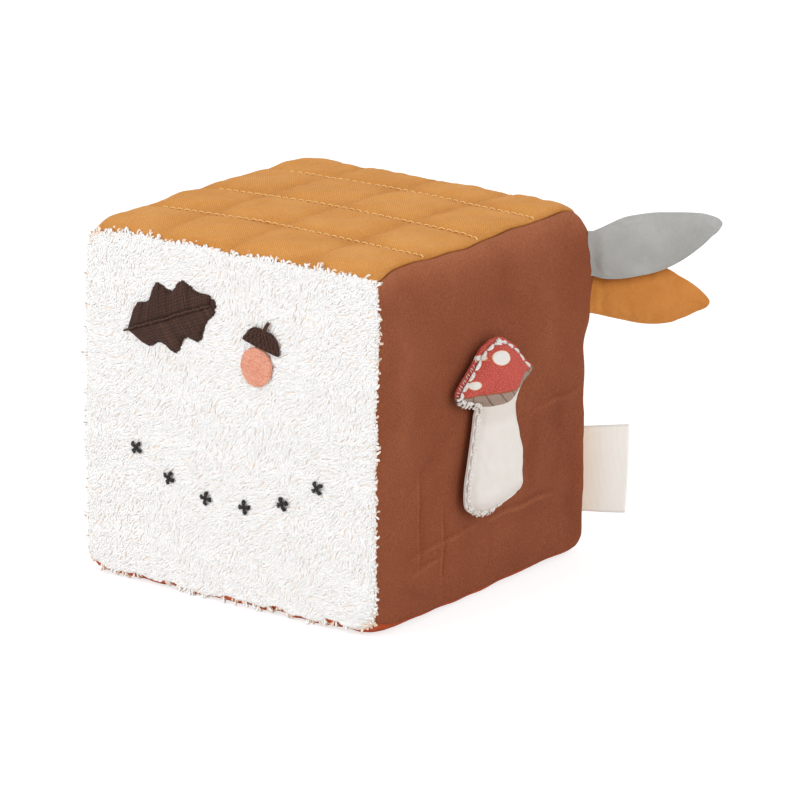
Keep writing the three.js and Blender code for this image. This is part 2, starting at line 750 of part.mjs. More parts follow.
// The distance from a place inside the toadstool to its outline.
function fromEdge(y, z) {
  const place = new THREE.Vector3(y, z, 0);
  const nearest = new THREE.Vector3();
  return Math.min(
    ...TOADSTOOL_OUTLINE.map((start, i) => {
      const end = TOADSTOOL_OUTLINE[(i + 1) % TOADSTOOL_OUTLINE.length];
      const side = new THREE.Line3(vector(...start, 0), vector(...end, 0));
      side.closestPointToPoint(place, true, nearest);
      return nearest.distanceTo(place);
    }),
  );
}

// The swelling rises like a quarter of an ellipse from the sewn margin.
function swelling(distance) {
  const inside = clamp((distance - TOADSTOOL_MARGIN) / TOADSTOOL_SLOPE, 0, 1);
  return Math.sqrt(1 - (1 - inside) ** 2);
}

const TOADSTOOL_PLANE =
  HALF + SIDE_CROWN + CLEARANCE + TOADSTOOL_BACK + TOADSTOOL_CLOTH + CLEARANCE / 2;

const HALVINGS = 24;

// The end of a row at a given distance from the outline, found by halving the span.
function rowEnd(middle, edge, z, distance) {
  let inside = middle;
  let outside = edge;
  for (let i = 0; i < HALVINGS; i++) {
    const between = (inside + outside) / 2;
    if (fromEdge(between, z) > distance) inside = between;
    else outside = between;
  }
  return inside;
}

function addToadstool() {
  const acrossShares = mirrored([0.4, 0.7, 0.88, 1]);
  const place = ([height, left, right], across) => {
    const middle = (toadstoolEdge(left) + toadstoolEdge(right)) / 2;
    const half = (toadstoolEdge(right) - toadstoolEdge(left)) / 2;
    return [middle + across * half, toadstoolZ(height)];
  };
  const surface = (outwards) =>
    grid(acrossShares, TOADSTOOL_ROW_SHARES, (across, row) => {
      const [y, z] = place(row, across);
      return vector(TOADSTOOL_PLANE + outwards(swelling(fromEdge(y, z))), y, z);
    });
  const gap = CLEARANCE / 2;
  const front = closedSheet(
    surface((rise) => gap + TOADSTOOL_CLOTH + TOADSTOOL_FRONT * rise),
    surface((rise) => gap + TOADSTOOL_FRONT * rise),
  );
  const back = closedSheet(
    surface((rise) => -gap - TOADSTOOL_BACK * rise),
    surface((rise) => -gap - TOADSTOOL_CLOTH - TOADSTOOL_BACK * rise),
  );
  addPiece("toadstool_back_cloth", back, COLOURS.stem);
  addToadstoolFilling();
  const cloth = addPiece("toadstool_front_cloth", front, COLOURS.cap);
  addEdgeStitching(cloth);
}

function addToadstoolFilling() {
  const rows = TOADSTOOL_ROW_SHARES.map(([height, left, right]) => {
    const middle = (toadstoolEdge(left) + toadstoolEdge(right)) / 2;
    const z = toadstoolZ(height);
    return { middle, z, left: toadstoolEdge(left), right: toadstoolEdge(right) };
  }).filter(({ middle, z }) => fromEdge(middle, z) > FILLING_INSET);
  const surface = (outwards) =>
    grid(mirrored([0.4, 0.75, 1]), rows, (across, row) => {
      const edge = rowEnd(row.middle, across < 0 ? row.left : row.right, row.z, FILLING_INSET);
      const y = row.middle + Math.abs(across) * (edge - row.middle);
      return vector(TOADSTOOL_PLANE + outwards(swelling(fromEdge(y, row.z))), y, row.z);
    });
  const filling = closedSheet(
    surface((rise) => TOADSTOOL_FRONT * rise - 2 * CLEARANCE),
    surface((rise) => 2 * CLEARANCE - TOADSTOOL_BACK * rise),
  );
  addPiece("toadstool_filling", filling, COLOURS.wadding);
}

const PATH_TIGHTNESS = 0.2; // a small value keeps the thread's path close to the outline's corners

// One thread runs round the toadstool just inside its edge. Its height is found by dropping
// each of its points onto the front cloth.
function addEdgeStitching(cloth) {
  const path = new THREE.CatmullRomCurve3(
    TOADSTOOL_OUTLINE.map(([y, z]) => vector(0, y, z)),
    true,
    "catmullrom",
    PATH_TIGHTNESS,
  );
  const count = Math.round(path.getLength() / EDGE_STITCH);
  const outwards = vector(1, 0, 0);
  const ray = new THREE.Raycaster();
  cloth.updateMatrixWorld();
  const points = path.getSpacedPoints(count).slice(0, -1).map((point, i) => {
    const inwards = outwards.clone().cross(path.getTangentAt(i / count)).normalize();
    point.addScaledVector(inwards, EDGE_THREAD_INSET);
    ray.set(vector(2 * BLOCK_EDGE, point.y, point.z), vector(-1, 0, 0));
    const [hit] = ray.intersectObject(cloth);
    point.x = hit.point.x + EDGE_THREAD + CLEARANCE / 2;
    return point;
  });
  const stitching = threadGeometry(points, EDGE_THREAD, outwards, true);
  addPiece("toadstool_edge_stitching", stitching, COLOURS.edging);
}

// Embroidery

// A place on the towelling, from a distance across and a height above the floor.
function onTowelling(across, height, outwards) {
  return clothPoint(FACES.front, across / HALF, height / HALF - 1, -outwards);
}

// A stitched motif: rows along its own axis, each as wide as halfWidth says.
function motif(shape, alongShares, acrossShares, halfWidth) {
  const turn = THREE.MathUtils.degToRad(shape.tilt);
  const surface = (outwards) =>
    grid(alongShares, acrossShares, (share, across) => {
      const along = (share - 0.5) * shape.length;
      const aside = across * halfWidth(share);
      const x = shape.across + along * Math.cos(turn) - aside * Math.sin(turn);
      const z = shape.height + along * Math.sin(turn) + aside * Math.cos(turn);
      return onTowelling(x, z, outwards);
    });
  return closedSheet(surface(CLEARANCE + EMBROIDERY), surface(CLEARANCE));
}

function addEmbroidery() {
  const lengthShares = [0, 0.05, 0.14, 0.25, 0.36, 0.47, 0.58, 0.69, 0.8, 0.9, 0.97, 1];
  const acrossShares = mirrored([0.55, 1]);
  const lobes = 3.5;
  const lobeDepthShare = 0.16;
  const leafFullness = 0.7;
  const endShare = 0.02; // short of both ends, so that no row has no width
  const within = (share) => clamp(share, endShare, 1 - endShare);
  const leafHalf = (share) => {
    const plain = Math.sin(Math.PI * within(share)) ** leafFullness;
    const lobed = 1 - lobeDepthShare * (1 + Math.cos(2 * Math.PI * lobes * share));
    return (LEAF_MOTIF.width / 2) * plain * lobed;
  };
  const nutHalf = (share) => {
    const round = 1 - (2 * within(share) - 1) ** 2;
    return (NUT_MOTIF.width / 2) * Math.sqrt(round);
  };
  const leaf = motif(LEAF_MOTIF, lengthShares, acrossShares, leafHalf);
  addPiece("embroidered_leaf", leaf, COLOURS.darkBrown, 0.7);
  addPiece("embroidered_nut", motif(NUT_MOTIF, lengthShares, acrossShares, nutHalf), COLOURS.peach, 0.7);
  const turn = THREE.MathUtils.degToRad(NUT_MOTIF.tilt);
  const reach = (NUT_MOTIF.length + CUP_MOTIF.length) / 2 + CLEARANCE;
  const cup = {
    ...CUP_MOTIF,
    across: NUT_MOTIF.across + reach * Math.cos(turn),
    height: NUT_MOTIF.height + reach * Math.sin(turn),
    tilt: NUT_MOTIF.tilt,
  };
  const cupRoundShare = 0.9; // of a half circle, from the mouth of the cup to its stalk
  const cupHalf = (share) => (CUP_MOTIF.width / 2) * Math.sqrt(1 - (cupRoundShare * share) ** 2);
  const cupShares = [0, 0.3, 0.6, 0.85, 1];
  addPiece("embroidered_cup", motif(cup, cupShares, acrossShares, cupHalf), COLOURS.darkBrown, 0.7);
  addSprigs();
}

// Small four-petalled sprigs on an arc across the lower part of the towelling.
function addSprigs() {
  const petals = 4;
  const points = 4 * petals;
  const hollowShare = 0.35; // of the radius, between two petals
  const outline = [];
  for (let i = 0; i < points; i++) {
    const angle = (2 * Math.PI * i) / points;
    const petal = Math.abs(Math.cos((petals / 2) * angle));
    const radius = SPRIG_RADIUS * (hollowShare + (1 - hollowShare) * petal);
    outline.push(new THREE.Vector2(radius * Math.cos(angle), radius * Math.sin(angle)));
  }
  const shape = new THREE.Shape(outline);
  for (let i = 0; i < SPRIGS; i++) {
    const share = i / (SPRIGS - 1) - 0.5;
    const angle = THREE.MathUtils.degToRad(SPRIG_ARC.spread * share - 90);
    const across = SPRIG_ARC.radius * Math.cos(angle);
    const height = SPRIG_ARC.middle + SPRIG_ARC.radius * Math.sin(angle);
    const geometry = new THREE.ExtrudeGeometry(shape, { depth: EMBROIDERY, bevelEnabled: false });
    geometry.rotateX(Math.PI / 2);
    const sprig = addPiece("embroidered_sprig_" + (i + 1), geometry, COLOURS.black, 0.7);
    sprig.position.copy(onTowelling(across, height, CLEARANCE));
    sprig.rotation.y = -THREE.MathUtils.degToRad(SPRIG_ARC.spread * share);
  }
}

addPanels();
addWadding();
addQuiltThreads();
addFoam();
addRattle();
addLeaf("grey_leaf", GREY_LEAF, COLOURS.grey);
addLeaf("mustard_leaf", MUSTARD_LEAF, COLOURS.leafMustard);
addTapeLoop();
addToadstool();
addEmbroidery();

export default part;
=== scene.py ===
"""A sewn activity block for a baby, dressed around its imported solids.

The block stands on its lower face with its middle over the origin. The towelling faces -Y and the
toadstool faces +X. Shapes are worked out in millimetres as numpy arrays and become meshes in
metres. Most surfaces are grids: u and v run from -1 to 1 across one side of the block.
"""
import math
from collections import namedtuple

import bpy
import numpy as np
from mathutils import Matrix, Vector


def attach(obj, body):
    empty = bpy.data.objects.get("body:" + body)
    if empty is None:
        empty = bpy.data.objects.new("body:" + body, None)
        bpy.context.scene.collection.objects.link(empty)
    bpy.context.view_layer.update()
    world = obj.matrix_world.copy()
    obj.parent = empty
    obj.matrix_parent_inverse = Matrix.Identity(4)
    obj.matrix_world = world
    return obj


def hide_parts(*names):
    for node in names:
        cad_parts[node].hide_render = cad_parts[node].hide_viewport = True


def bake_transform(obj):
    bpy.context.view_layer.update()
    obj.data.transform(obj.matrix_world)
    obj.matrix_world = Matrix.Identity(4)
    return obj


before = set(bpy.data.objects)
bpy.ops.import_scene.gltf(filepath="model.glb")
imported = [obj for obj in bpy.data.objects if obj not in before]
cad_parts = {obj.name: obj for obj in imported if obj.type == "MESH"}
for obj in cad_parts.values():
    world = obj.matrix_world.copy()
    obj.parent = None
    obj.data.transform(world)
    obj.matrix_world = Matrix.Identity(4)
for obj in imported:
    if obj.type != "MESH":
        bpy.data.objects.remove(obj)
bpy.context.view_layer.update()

MM = 0.001
TURN = 2 * math.pi
DIAGONAL_SHARE = math.sqrt(0.5)
TINY = 1e-9  # keeps a divisor away from zero

# The block, as its solids have it
BLOCK_EDGE = 120.0
HALF = BLOCK_EDGE / 2
SEAM_RADIUS = 3.0
EDGE_STAND_OUT = 0.4
CORNER_BLUNTING = 0.6
CORNER_REACH = 9.0
SEAM_ALLOWANCE = 5.0
SEAM_GAP = 0.16
SEAM_REACH_POWER = 6
SAME_SHARE = 1e-6  # shares that differ by less are the same
CLEARANCE = 0.3
SEWN_GAP = 0.02  # between two cloths that are sewn together
RIM_SHARE = 1 - SEAM_GAP / HALF
SQUEEZE_SHARE = 0.875

TWILL = 0.8
TOWELLING = 2.2
PILE = 0.5
SIDE_CROWN = 1.3
TOWELLING_CROWN = 1.1
TOP_CROWN = 2.8
TOP_FULLNESS = 0.75  # below 1, the crown rises faster at its rim
RESTING_CROWN = 0.5

QUILT_SQUARES = 4
QUILT_PUFF = 1.5
QUILT_FULLNESS = 0.7
CROSS_FULLNESS = 0.75
QUILT_DRIFT = 4.6
QUILT_DRIFT_SLANT = 0.25
LOOSENESS = 0.22  # how much of a square's swelling is left on a cross line
LOOSENESS_STRAY = 0.08
LOOSENESS_SIZE = 18.0
LOOSENESS_FADE = 8.0
QUILT_THREAD = 0.5
QUILT_START = 9.5  # from the left edge to the long lines' first stitch
QUILT_END = 0.6

LEAF_CLOTH = 0.7
LEAF_PUFF = 0.5
CRINKLE_FILM = 0.3
LEAF_BULGE = 2.0
TAB_FADE = 13.0
# A row is a place along a leaf as a share of its length, then its lower and upper edges there
# from the middle of its root, as shares of its width
Leaf = namedtuple("Leaf", "length width root_drop side row_shares")
GREY_LEAF = Leaf(43.8, 21.4, 14.5, 1, np.array([
    (0, -0.39, 0.325), (0.096, -0.437, 0.42), (0.228, -0.44, 0.537), (0.347, -0.407, 0.579),
    (0.473, -0.36, 0.603), (0.598, -0.271, 0.598), (0.724, -0.131, 0.589), (0.849, 0.061, 0.565),
    (0.913, 0.187, 0.528), (0.961, 0.266, 0.491), (0.986, 0.336, 0.458), (1, 0.38, 0.42),
]))
MUSTARD_LEAF = Leaf(41.0, 22.0, 27.8, -1, np.array([
    (0, -0.39, 0.364), (0.134, -0.46, 0.414), (0.271, -0.523, 0.427), (0.407, -0.582, 0.409),
    (0.544, -0.605, 0.341), (0.673, -0.586, 0.227), (0.741, -0.541, 0.141), (0.807, -0.5, 0.068),
    (0.878, -0.436, -0.023), (0.946, -0.391, -0.136), (0.98, -0.355, -0.205), (1, -0.3, -0.26),
]))

TAPE = 0.5
TAPE_WIDTH = 31.0
TAPE_LENGTH = 15.0
TAPE_FOOT = 13.0
TAPE_SLOT = 0.5
TAPE_BULGE = 0.8
TAPE_STATIONS = 30  # on each of its straight halves
TAPE_BOW = 0.32
TAPE_LEAN = 0.3
TAPE_FOOT_RISE = 1.1

TOADSTOOL_HEIGHT = 60.0
TOADSTOOL_CAP = 43.8
TOADSTOOL_FOOT = 29.3
TOADSTOOL_SHIFT = -1.1
TOADSTOOL_CLOTH = 0.7
TOADSTOOL_FRONT = 4.6
TOADSTOOL_BACK = 2.0
TOADSTOOL_MARGIN = 2.2
TOADSTOOL_SLOPE = 9.0
STEM_DRAWN_IN = 1.4
FOOT_DRAWN_UP = 0.8
TOADSTOOL_PLANE = HALF + SIDE_CROWN + CLEARANCE + TOADSTOOL_BACK + TOADSTOOL_CLOTH + CLEARANCE / 2

EMBROIDERY = 0.8
PADDING = EMBROIDERY * 0.55
Motif = namedtuple("Motif", "length width across height tilt")
LEAF_MOTIF = Motif(39.0, 24.0, -22.0, 95.0, 22.0)
NUT_MOTIF = Motif(13.0, 12.5, 13.0, 84.0, 76.0)
CUP_LENGTH = 6.0
CUP_WIDTH = 15.0
CUP_FORWARD = (NUT_MOTIF.length + CUP_LENGTH) / 2 + CLEARANCE
SPRIG_RADIUS = 2.4
SPRIG_ARC_RADIUS = 62.0
SPRIG_ARC_MIDDLE = 97.0
SPRIG_SPREAD = 74.0
SPRIGS = 6


# Camera

def add_camera():
    """The photograph's view, from a fit of the block's corners."""
    place = (0.914229, -1.235839, 0.505922)
    right = (0.81019, 0.58607, 0.01027)
    up = (-0.17245, 0.22157, 0.95977)
    back = (0.56022, -0.77937, 0.28058)
    camera = bpy.data.objects.new("photo_camera", bpy.data.cameras.new("photo_camera"))
    camera.data.sensor_width = 36.0
    camera.data.lens = 214.6
    camera.data.clip_end = 50.0
    bpy.context.scene.collection.objects.link(camera)
    columns = [right, up, back, place]
    rows = [[column[i] for column in columns] for i in range(3)]
    camera.matrix_world = Matrix([*rows, (0, 0, 0, 1)])
    bpy.context.scene.camera = camera


# Grids and forms

class Form:
    """Points in millimetres, faces as arrays of corner numbers, and the weave.

    The weave gives each point its place along and across its own cloth or thread, in
    millimetres, and a share from 0 to 1 that the finishes read.
    """

    def __init__(self, points, faces, weave):
        self.points = np.asarray(points, float).reshape(-1, 3)
        self.faces = [np.asarray(face, int) for face in faces]
        self.weave = np.asarray(weave, float).reshape(-1, 3)


def joined(forms):
    """Several forms as one, with the corner numbers of each moved up past those before it."""
    faces = []
    first = 0
    for form in forms:
        faces.extend(face + first for face in form.faces)
        first += len(form.points)
    points = np.concatenate([form.points for form in forms])
    weave = np.concatenate([form.weave for form in forms])
    return Form(points, faces, weave)


def normalised(vectors):
    return vectors / np.maximum(np.linalg.norm(vectors, axis=-1, keepdims=True), TINY)


def ramp(value, low, high):
    """0 at low and 1 at high, where high may be the lesser. A share s of the way between them is
    smoothed to three s squared less two s cubed."""
    share = np.clip((value - low) / (high - low), 0, 1)
    return share * share * (3 - 2 * share)


def bell(value, middle, size):
    """e to the power of minus the square of the distance from the middle, counted in sizes."""
    return np.exp(-(((value - middle) / size) ** 2))


def arch(share, power=1.0):
    """Half a sine wave, from 0 up to 1 and back as the share runs from 0 to 1, to a power."""
    return np.sin(np.pi * share) ** power


def crowded_places(count):
    """Places from -1 to 1, closer together towards both ends: the sine of an even angle."""
    return np.sin(np.linspace(-0.5, 0.5, count) * np.pi)


def dome(distance):
    """1 in the middle and 0 from a distance of 1 on: one less the distance squared, squared."""
    return np.maximum(0, 1 - distance**2) ** 2


Bump = namedtuple("Bump", "middle size amount")


def bumps(value, given):
    """The sum of some bumps: each is a bell round its middle, times its amount."""
    return sum(bump.amount * bell(value, bump.middle, bump.size) for bump in given)


WAVE_SPREAD = (0.7, 1.5)  # the least and the greatest length of a wave, as shares of the size


def waves(places, size, seed, count=7):
    """Smooth noise: a sum of cosines in random directions, each with a wavelength near size."""
    random = np.random.default_rng(seed)
    total = np.zeros(places.shape[:-1])
    for _ in range(count):
        heading = random.normal(size=places.shape[-1])
        heading *= TURN / (np.linalg.norm(heading) * size * random.uniform(*WAVE_SPREAD))
        total += np.cos(places @ heading + random.uniform(0, TURN))
    return total / math.sqrt(count)


def layered_waves(places, layers):
    """The sum of some smooth noises, each given by its amount, its size and its seed."""
    return sum(amount * waves(places, size, seed) for amount, size, seed in layers)


def waves_along(along, row, size, seed, count=7):
    """The same noise along a line. Lines with different rows get different noise."""
    return waves(np.stack([along, along * 0 + row], -1), size, seed, count)


def quads_of(ids):
    """The faces between neighbours in a grid of corner numbers, anticlockwise from outside."""
    corners = [ids[:-1, :-1], ids[1:, :-1], ids[1:, 1:], ids[:-1, 1:]]
    return np.stack(corners, -1).reshape(-1, 4)


def border(cells):
    """The border of a grid, once round from its first corner."""
    return np.concatenate([cells[:-1, 0], cells[-1, :-1], cells[:0:-1, -1], cells[0, :0:-1]])


def closed_sheet(outer, inner, weave, loops=()):
    """A closed sheet: an outer grid, an inner grid, and loops that lead from the border of one to
    the border of the other. weave is a grid for the outer side, and the inner side has the same."""
    size = outer.shape[0] * outer.shape[1]
    outer_ids = np.arange(size).reshape(outer.shape[:2])
    inner_ids = outer_ids + size
    rings = [border(outer_ids)]
    first = 2 * size
    for loop in loops:
        rings.append(first + np.arange(len(loop)))
        first += len(loop)
    rings.append(border(inner_ids))
    faces = [quads_of(outer_ids), quads_of(inner_ids)[:, ::-1]]
    for here, there in zip(rings, rings[1:]):
        corners = [here, there, np.roll(there, -1), np.roll(here, -1)]
        faces.append(np.stack(corners, -1))
    points = np.concatenate([outer.reshape(-1, 3), inner.reshape(-1, 3), *loops])
    flat = weave.reshape(-1, 3)
    edge = border(weave)
    return Form(points, faces, np.concatenate([flat, flat, *[edge for _ in loops]]))


def tubes(paths, radius, lift, sides=4, mask=0.5, thick=1.0):
    """Many threads at once. paths is (threads, steps, 3), and lift points away from the cloth.

    Each ring is a circle square to its path: sideways is ahead crossed with lift, upwards is
    sideways crossed with ahead, and a corner at an angle lies at the radius times its cosine
    sideways and its sine upwards, times thick. The weave is the length so far, the share of the
    way round, and mask, which is one number or one for each thread.
    """
    paths = np.asarray(paths, float)
    count, steps = paths.shape[:2]
    ahead = normalised(np.gradient(paths, axis=1))
    sideways = normalised(np.cross(ahead, np.broadcast_to(lift, paths.shape)))
    upwards = np.cross(sideways, ahead)
    angles = (np.arange(sides) + 0.5) * TURN / sides
    ring = np.cos(angles)[:, None] * sideways[:, :, None]
    ring = ring + thick * np.sin(angles)[:, None] * upwards[:, :, None]
    spread = np.broadcast_to(radius, (count, steps))[..., None, None]
    points = paths[:, :, None] + spread * ring
    ids = np.arange(count * steps * sides).reshape(count, steps, sides)
    following = np.roll(ids, -1, axis=2)
    corners = [ids[:, :-1], ids[:, 1:], following[:, 1:], following[:, :-1]]
    walls = np.stack(corners, -1).reshape(-1, 4)
    stretches = np.linalg.norm(np.diff(paths, axis=1, prepend=paths[:, :1]), axis=-1)
    along = np.cumsum(stretches, axis=1)[..., None]
    around = np.arange(sides) / sides
    masks = np.reshape(mask, (-1, 1, 1))
    weave = np.stack([np.broadcast_to(part, ids.shape) for part in (along, around, masks)], -1)
    return Form(points, [walls, ids[:, 0], ids[:, -1, ::-1]], weave)


def add_piece(name, form, finish, body="block", replaces=(), level=0):
    """A form as a Blender mesh in metres, with its weave as an attribute, riding on a body."""
    mesh = bpy.data.meshes.new(name)
    corners = np.concatenate([face.ravel() for face in form.faces])
    sizes = np.concatenate([np.full(len(face), face.shape[1]) for face in form.faces])
    mesh.vertices.add(len(form.points))
    mesh.vertices.foreach_set("co", (form.points * MM).astype(np.float32).ravel())
    mesh.loops.add(len(corners))
    mesh.loops.foreach_set("vertex_index", corners.astype(np.int32))
    mesh.polygons.add(len(sizes))
    starts = np.concatenate([[0], np.cumsum(sizes)[:-1]])
    mesh.polygons.foreach_set("loop_start", starts.astype(np.int32))
    mesh.update(calc_edges=True)
    mesh.polygons.foreach_set("use_smooth", np.ones(len(sizes), bool))
    weave = mesh.attributes.new("weave", "FLOAT_VECTOR", "POINT")
    weave.data.foreach_set("vector", form.weave.astype(np.float32).ravel())
    mesh.materials.append(finish)
    made = bpy.data.objects.new(name, mesh)
    bpy.context.scene.collection.objects.link(made)
    if level:
        finer = made.modifiers.new("finer", "SUBSURF")
        finer.levels = level
        finer.render_levels = level
    if body:
        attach(made, body)
    if replaces:
        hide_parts(*replaces)
    return made


def finished_mesh(made):
    """Puts the mesh that an object's modifiers make in their place."""
    evaluated = made.evaluated_get(bpy.context.evaluated_depsgraph_get())
    final = bpy.data.meshes.new_from_object(evaluated)
    made.modifiers.clear()
    made.data = final
    return final


# Cloth that settles by simulation

CLOTH_SCALE = 0.01  # the simulation works on a model this many units to a millimetre
CLOTH_STEPS = 22
CLOTH_UNEVENNESS = 0.03  # how uneven the cloth starts, so that it can buckle
CLOTH_SETTINGS = {
    "quality": 7,
    "mass": 0.15,
    "tension_stiffness": 20,
    "compression_stiffness": 20,
    "shear_stiffness": 8,
    "bending_stiffness": 0.25,
    "tension_damping": 10,
    "compression_damping": 10,
    "shear_damping": 8,
    "bending_damping": 1,
    "air_damping": 5,
    "vertex_group_mass": "pins",
    "use_pressure": True,
}


def settled(points, held, pressure, growth, cap, seed):
    """A grid of cloth after it has settled. It is held where held is true, its rest lengths grow
    by a share, and pressure blows it outwards, or inwards where it is negative. No point moves
    further than cap."""
    scene = bpy.context.scene
    flat = points.reshape(-1, 3)
    noise = np.random.default_rng(seed).normal(size=flat.shape) * CLOTH_UNEVENNESS
    noise[held.ravel()] = 0
    ids = np.arange(len(flat)).reshape(points.shape[:2])
    mesh = bpy.data.meshes.new("cloth_at_work")
    mesh.from_pydata(((flat + noise) * CLOTH_SCALE).tolist(), [], quads_of(ids).tolist())
    worked = bpy.data.objects.new("cloth_at_work", mesh)
    scene.collection.objects.link(worked)
    pins = worked.vertex_groups.new(name="pins")
    pins.add(np.flatnonzero(held.ravel()).tolist(), 1.0, "REPLACE")
    modifier = worked.modifiers.new("cloth", "CLOTH")
    for name, value in CLOTH_SETTINGS.items():
        setattr(modifier.settings, name, value)
    modifier.settings.shrink_min = -growth
    modifier.settings.uniform_pressure_force = pressure
    modifier.settings.effector_weights.gravity = 0
    modifier.collision_settings.use_collision = False
    modifier.point_cache.frame_start = 1
    modifier.point_cache.frame_end = CLOTH_STEPS
    for step in range(1, CLOTH_STEPS + 1):
        scene.frame_set(step)
    evaluated = worked.evaluated_get(bpy.context.evaluated_depsgraph_get())
    reached = np.empty(len(flat) * 3, np.float32)
    evaluated.data.vertices.foreach_get("co", reached)
    moved = reached.reshape(-1, 3) / CLOTH_SCALE - flat
    scene.frame_set(1)
    bpy.data.objects.remove(worked)
    bpy.data.meshes.remove(mesh)
    length = np.maximum(np.linalg.norm(moved, axis=1, keepdims=True), TINY)
    return (flat + moved * np.minimum(1, cap / length)).reshape(points.shape)


# The shape of the block

Side = namedtuple("Side", "normal across up crown quilted resting")


def side_of(normal, across, up, crown, quilted=False, resting=False):
    vectors = [np.array(axis, float) for axis in (normal, across, up)]
    return Side(*vectors, crown, quilted, resting)


FRONT = side_of((0, -1, 0), (1, 0, 0), (0, 0, 1), TOWELLING_CROWN)
RIGHT = side_of((1, 0, 0), (0, 1, 0), (0, 0, 1), SIDE_CROWN)
BACK = side_of((0, 1, 0), (-1, 0, 0), (0, 0, 1), SIDE_CROWN)
LEFT = side_of((-1, 0, 0), (0, -1, 0), (0, 0, 1), SIDE_CROWN)
TOP = side_of((0, 0, 1), (1, 0, 0), (0, 1, 0), TOP_CROWN, quilted=True)
BOTTOM = side_of((0, 0, -1), (1, 0, 0), (0, -1, 0), RESTING_CROWN, resting=True)


def on_face(side, across, up, outwards):
    """A place on a side as a vector, from its parts along the side's own three axes."""
    places = np.broadcast_arrays(across, up, outwards)
    axes = (side.across, side.up, side.normal)
    return sum(place[..., None] * axis for place, axis in zip(places, axes))


def side_grid(shares):
    return np.meshgrid(shares, shares, indexing="ij")


def from_rim(u, v):
    """How many millimetres a place on a side is from the nearest edge of the block."""
    return (1 - np.maximum(np.abs(u), np.abs(v))) * HALF


def plateau(height, low, high):
    """1 between two heights, fading to 0 over the tab fade beyond each of them."""
    return ramp(height, low - TAB_FADE, low) * ramp(height, high + TAB_FADE, high)


def leaf_z(leaf, edge_share):
    return BLOCK_EDGE - leaf.root_drop + edge_share * leaf.width


def stand_out(share, along):
    """How far a seam stands out at a place along it: most in its middle, nothing at its ends.
    The upright seam that holds the tabs stands out further at their roots."""
    plain = EDGE_STAND_OUT * (1 - share[..., along] ** 2)
    if along != 2:
        return plain
    height = HALF * (1 + share[..., 2])
    root_top = leaf_z(GREY_LEAF, GREY_LEAF.row_shares[0, 2])
    root_foot = leaf_z(MUSTARD_LEAF, MUSTARD_LEAF.row_shares[0, 1])
    leaves = plateau(height, root_foot, root_top)
    tape = plateau(height, TAPE_FOOT, TAPE_FOOT + TAPE_WIDTH)
    tabbed = plain * (1 - leaves) * (1 - tape) + LEAF_BULGE * leaves + TAPE_BULGE * tape
    return np.where((share[..., 0] >= 0) & (share[..., 1] >= 0), tabbed, plain)


def seam_nearness(share):
    """1 on a seam, falling off across the faces: the largest product of two shares, raised."""
    size = np.abs(share)
    products = [size[..., a] * size[..., b] for a, b in ((0, 1), (1, 2), (2, 0))]
    return np.clip(np.max(products, axis=0), 0, 1) ** (2 * SEAM_REACH_POWER)


def seam_push(share):
    """The push of the twelve seams and eight corners on a point of the cube. A seam pushes along
    its own diagonal, by its stand out times the sixth power of the product of the two shares. A
    corner pulls in along the body diagonal, by a dome of the distance from it."""
    push = np.zeros(share.shape)
    for along, a, b in ((0, 1, 2), (1, 2, 0), (2, 0, 1)):
        nearness = np.abs(share[..., a] * share[..., b]) ** SEAM_REACH_POWER
        outwards = nearness * stand_out(share, along) * DIAGONAL_SHARE
        push[..., a] += np.sign(share[..., a]) * outwards
        push[..., b] += np.sign(share[..., b]) * outwards
    from_corner = HALF * np.linalg.norm(1 - np.abs(share), axis=-1) / CORNER_REACH
    blunting = CORNER_BLUNTING * dome(from_corner) / math.sqrt(3)
    return push - np.sign(share) * blunting[..., None]


SEAM_WANDER = 0.28  # how far a sewn seam strays from its line
SEAM_WANDER_SIZE = 17.0
# The load on the lowest seams lifts and spreads them, unevenly by this share in patches this wide
LOW_SEAM_LIFT = 1.7
LOW_SEAM_SPREAD = 0.5
LOW_SEAM_POWER = 20
LOW_SEAM_PATCHES = 0.3
LOW_SEAM_PATCH_SIZE = 9.0
# The lowest seam of the front is lifted more, in patches that start from an even share
FRONT_SEAM_LIFT = 1.0
FRONT_SEAM_POWER = 9
FRONT_SEAM_DEPTH_POWER = 12
FRONT_SEAM_EVEN = 0.35
FRONT_SEAM_MOST = 1.4
FRONT_SEAM_PATCH_SIZE = 11.0
# The upright seam swells round the leaves' roots and the tape's, at these heights
SWELLINGS = [Bump(100.0, 8.0, 1.6), Bump(25.0, 11.0, 0.6)]
# The right panel runs up over the top's right edge, by this much inwards and upwards
SHOULDER_IN = 2.3
SHOULDER_UP = 1.2
SHOULDER_POWER = 8
# Where it rises and fades along that edge, from the edge's middle, and how much it loses there
SHOULDER_START = (-60.0, -46.0)
SHOULDER_END = (54.0, 60.0)
SHOULDER_LOSS = 0.35
SHOULDER_TOP = Bump(47.0, 8.0, 0.45)
SHOULDER_DIP = Bump(-10.0, 11.0, 0.5)
CornerDraw = namedtuple("CornerDraw", "corner draw reach")
CORNER_DRAWS = [
    CornerDraw((1, 1, 1), (-1.1, -1.7, -0.9), 12.0),
    CornerDraw((1, -1, -1), (-0.7, 0.6, 1.2), 9.0),
    CornerDraw((-1, -1, 1), (1.0, 0.3, -1.8), 12.0),
    CornerDraw((-1, 1, 1), (1.0, -1.0, -0.4), 9.0),
    CornerDraw((1, 1, -1), (0.8, 0.5, 0.0), 14.0),
    CornerDraw((1, 1, -1), (-0.6, -0.6, 0.7), 6.0),
    CornerDraw((-1, -1, -1), (0.8, 0.4, 0.5), 8.0),
]


